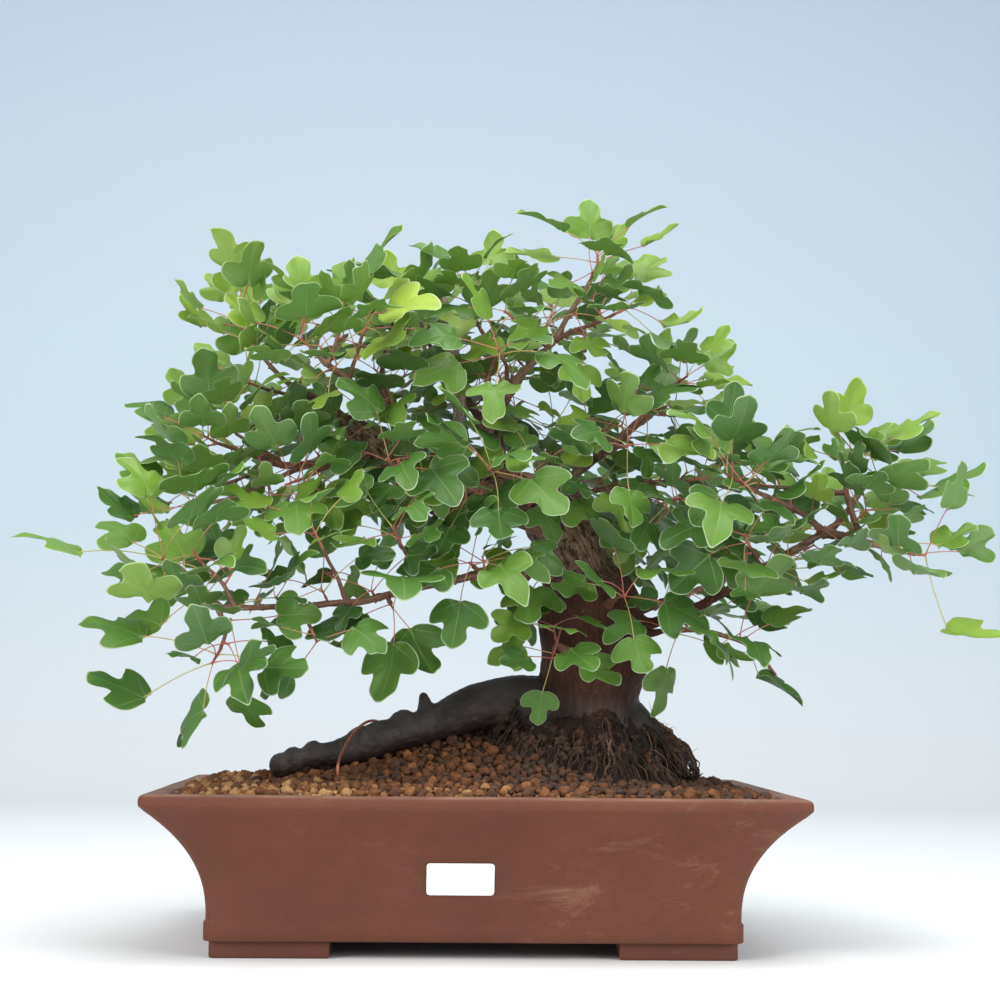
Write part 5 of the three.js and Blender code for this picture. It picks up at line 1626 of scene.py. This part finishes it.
def stalk_line(start, end, seed, radius):
    draw = random.Random(seed)
    bow = np.array((draw.uniform(-1, 1), draw.uniform(-1, 1), draw.uniform(-0.3, 1.6))) * 0.10
    length = np.linalg.norm(end - start)
    middle = (start + end) / 2 + bow * length
    rows = []
    for step in range(9):
        t = step / 8
        place = start * (1 - t) ** 2 + middle * 2 * t * (1 - t) + end * t ** 2
        flare_out = 1 + 0.7 * math.exp(-t * 14) + 0.25 * math.exp(-(1 - t) * 12)
        rows.append([*place, radius * flare_out])
    return np.array(rows)


def to_frame(points):
    return np.asarray(points) * mm + np.array((pot_x, pot_y, rim))


leaf = Nodes("maple_leaf", roughness=0.48)
blade_row = leaf.node("ShaderNodeSeparateXYZ", Vector=leaf.attribute("blade", "Vector"))
leaf_tone = leaf.attribute("tone")
left_right = leaf.math("ABSOLUTE", blade_row.outputs["X"])
along_leaf = blade_row.outputs["Y"]
share_out = leaf.math("ABSOLUTE", blade_row.outputs["Z"])
under_side = leaf.math("LESS_THAN", blade_row.outputs["Z"], 0.0)
middle_vein = leaf.math("DIVIDE", left_right, leaf.span(along_leaf, 0.0, 34.0, 0.42, 0.16))
lobe_gap = leaf.math("ABSOLUTE", leaf.math("SUBTRACT", leaf.math("MULTIPLY", left_right, vein_y), leaf.math("MULTIPLY", along_leaf, vein_x)))
lobe_vein = leaf.math("DIVIDE", lobe_gap, leaf.span(left_right, 0.0, 19.0, 0.36, 0.14))
vein = leaf.span(leaf.math("MINIMUM", middle_vein, lobe_vein), 0.6, 1.5, 1.0, 0.0)
feather = leaf.math("FRACT", leaf.math("DIVIDE", leaf.math("SUBTRACT", along_leaf, leaf.math("MULTIPLY", left_right, 0.8)), 4.6))
side_vein = leaf.math("MULTIPLY", leaf.span(leaf.math("ABSOLUTE", leaf.math("SUBTRACT", feather, 0.5)), 0.0, 0.05, 0.32, 0.0), leaf.span(along_leaf, 4, 9))
vein = leaf.math("MAXIMUM", vein, side_vein)
leaf_mottle = leaf.noise(110.0, detail=4.0)
green = leaf.ramp(leaf_tone, [
    (0.00, (0.055, 0.140, 0.028)), (0.28, (0.110, 0.255, 0.038)), (0.52, (0.210, 0.385, 0.044)),
    (0.78, (0.370, 0.555, 0.058)), (1.00, (0.550, 0.700, 0.100)),
])
green = leaf.mix(leaf.span(leaf_mottle, 0.35, 0.70, 0.0, 0.35), green, leaf.mix(0.5, green, (0.10, 0.22, 0.075)))
green = leaf.mix(leaf.math("MULTIPLY", under_side, 0.55), green, (0.155, 0.270, 0.120))
green = leaf.mix(leaf.math("MULTIPLY", vein, 0.60), green, (0.330, 0.450, 0.160))
# Painted highlight: the blade's outer rim is painted pale, as light catching the edge.
rim_highlight = leaf.span(share_out, 0.958, 0.985, 0.0, 0.85)
green = leaf.mix(rim_highlight, green, (0.660, 0.760, 0.480))
glow = leaf.mix(0.5, green, leaf.ramp(leaf_tone, [(0.0, (0.20, 0.44, 0.03)), (1.0, (0.66, 0.84, 0.10))]))
leaf_material = leaf.finish(
    color=green,
    roughness=leaf.span(leaf_mottle, 0.3, 0.7, 0.36, 0.50),
    bumps=[(vein, 0.0004, 0.35), (leaf_mottle, 0.0006, 0.25)],
)
through = leaf.node("ShaderNodeBsdfTranslucent", Color=glow)
both = leaf.tree.nodes.new("ShaderNodeMixShader")
both.inputs["Fac"].default_value = 0.36
leaf.tree.links.new(leaf.shader.outputs["BSDF"], both.inputs[1])
leaf.tree.links.new(through.outputs["BSDF"], both.inputs[2])
leaf.tree.links.new(both.outputs["Shader"], leaf.output.inputs["Surface"])

stalk = Nodes("leaf_stalk", roughness=0.45)
stalk_tone = stalk.attribute("tone")
stalk_color = stalk.ramp(stalk_tone, [
    (0.0, (0.200, 0.060, 0.040)), (0.35, (0.500, 0.150, 0.110)), (0.65, (0.500, 0.290, 0.120)), (1.0, (0.400, 0.400, 0.110)),
])
stalk_finish = stalk.finish(color=stalk_color)


def settle(made, draw_here):
    """A leaf turned to the light: the further out and the higher it is, the flatter it lies."""
    start, end, midrib, _, face, blade = made
    outer = min(1, max(0, (abs(end[0] - 30) - 80) / 130))
    high = min(1, max(0, (end[2] - 215) / 120))
    midrib = unit(midrib + np.array((0, 0, draw_here.uniform(0, 0.25) + 0.85 * outer + 0.45 * high)))
    face = face + np.array((draw_here.uniform(-0.25, 0.25), draw_here.uniform(-0.3, 0.1), 0.7 * outer))
    face = unit(face - midrib * (face @ midrib))
    return start, end, midrib, np.cross(midrib, face), face, blade


for shoot, spray in enumerate(sprays):
    draw = random.Random(900 + shoot)
    # Painted light and shade: each shoot's leaves are painted a little lighter or darker at random.
    shoot_painted_light = draw.uniform(-0.12, 0.14)
    high = (spray["tip"][2] - 120) / 260
    parts, coords, tones, is_stalk = [], [], [], []
    spurs = spray.get("spurs", [])
    for stem, grown in enumerate([spray] + spurs):
        rows = []
        for step in range(9):
            t = step / 8
            place = grown["root"] + (grown["tip"] - grown["root"]) * t
            rows.append([*place, (1.05 if not stem else 0.9) - 0.3 * t + (0.3 if step in (3, 8) else 0)])
        points, faces, _ = tube(np.array(rows), 8)
        parts.append((points, faces))
        coords.append(np.zeros((len(points), 3)))
        tones.append(np.full(len(points), draw.uniform(0.0, 0.45)))
        is_stalk += [1] * len(faces)
    every_leaf = [leaf_row for grown in [spray] + spurs for leaf_row in grown["leaves"]]
    for count, (index, made) in enumerate(every_leaf):
        seed = shoot * 100 + count
        leaf_draw = random.Random(seed)
        made = settle(made, leaf_draw)
        young = 1 if leaf_draw.random() < 0.08 + 0.10 * max(0, high) else 0
        points, faces, coord = blade_mesh(made, seed, young)
        parts.append((points, faces))
        coords.append(coord)
        # Painted light: leaves further left and higher up are painted lighter, as if lit; young leaves are yellower.
        painted_sunlight = min(1, max(0, (-made[1][0] - 20) / 160)) * min(1, max(0, (made[1][2] - 150) / 120))
        tone_here = 0.27 + shoot_painted_light + 0.14 * high + 0.24 * painted_sunlight + leaf_draw.uniform(-0.20, 0.18) + 0.30 * young
        tones.append(np.full(len(points), min(1, max(0, tone_here))))
        is_stalk += [0] * len(faces)
        points, faces, _ = tube(stalk_line(made[0], made[1] + made[2] * 1.2 * made[5], seed, 0.36), 6)
        parts.append((points, faces))
        coords.append(np.zeros((len(points), 3)))
        tones.append(np.full(len(points), leaf_draw.choice((0.25, 0.35, 0.45, 0.7, 0.9))))
        is_stalk += [1] * len(faces)
    points, faces = join(parts)
    mesh = mesh_from("leafy_shoot", to_frame(points), faces, slots=is_stalk)
    tint(mesh, "blade", np.concatenate(coords))
    tint(mesh, "tone", np.concatenate(tones))
    name = f"shoot_{shoot + 1:02d}"
    piece = add_object(f"leafy_{name}", mesh, [leaf_material, stalk_finish])
    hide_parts(name)
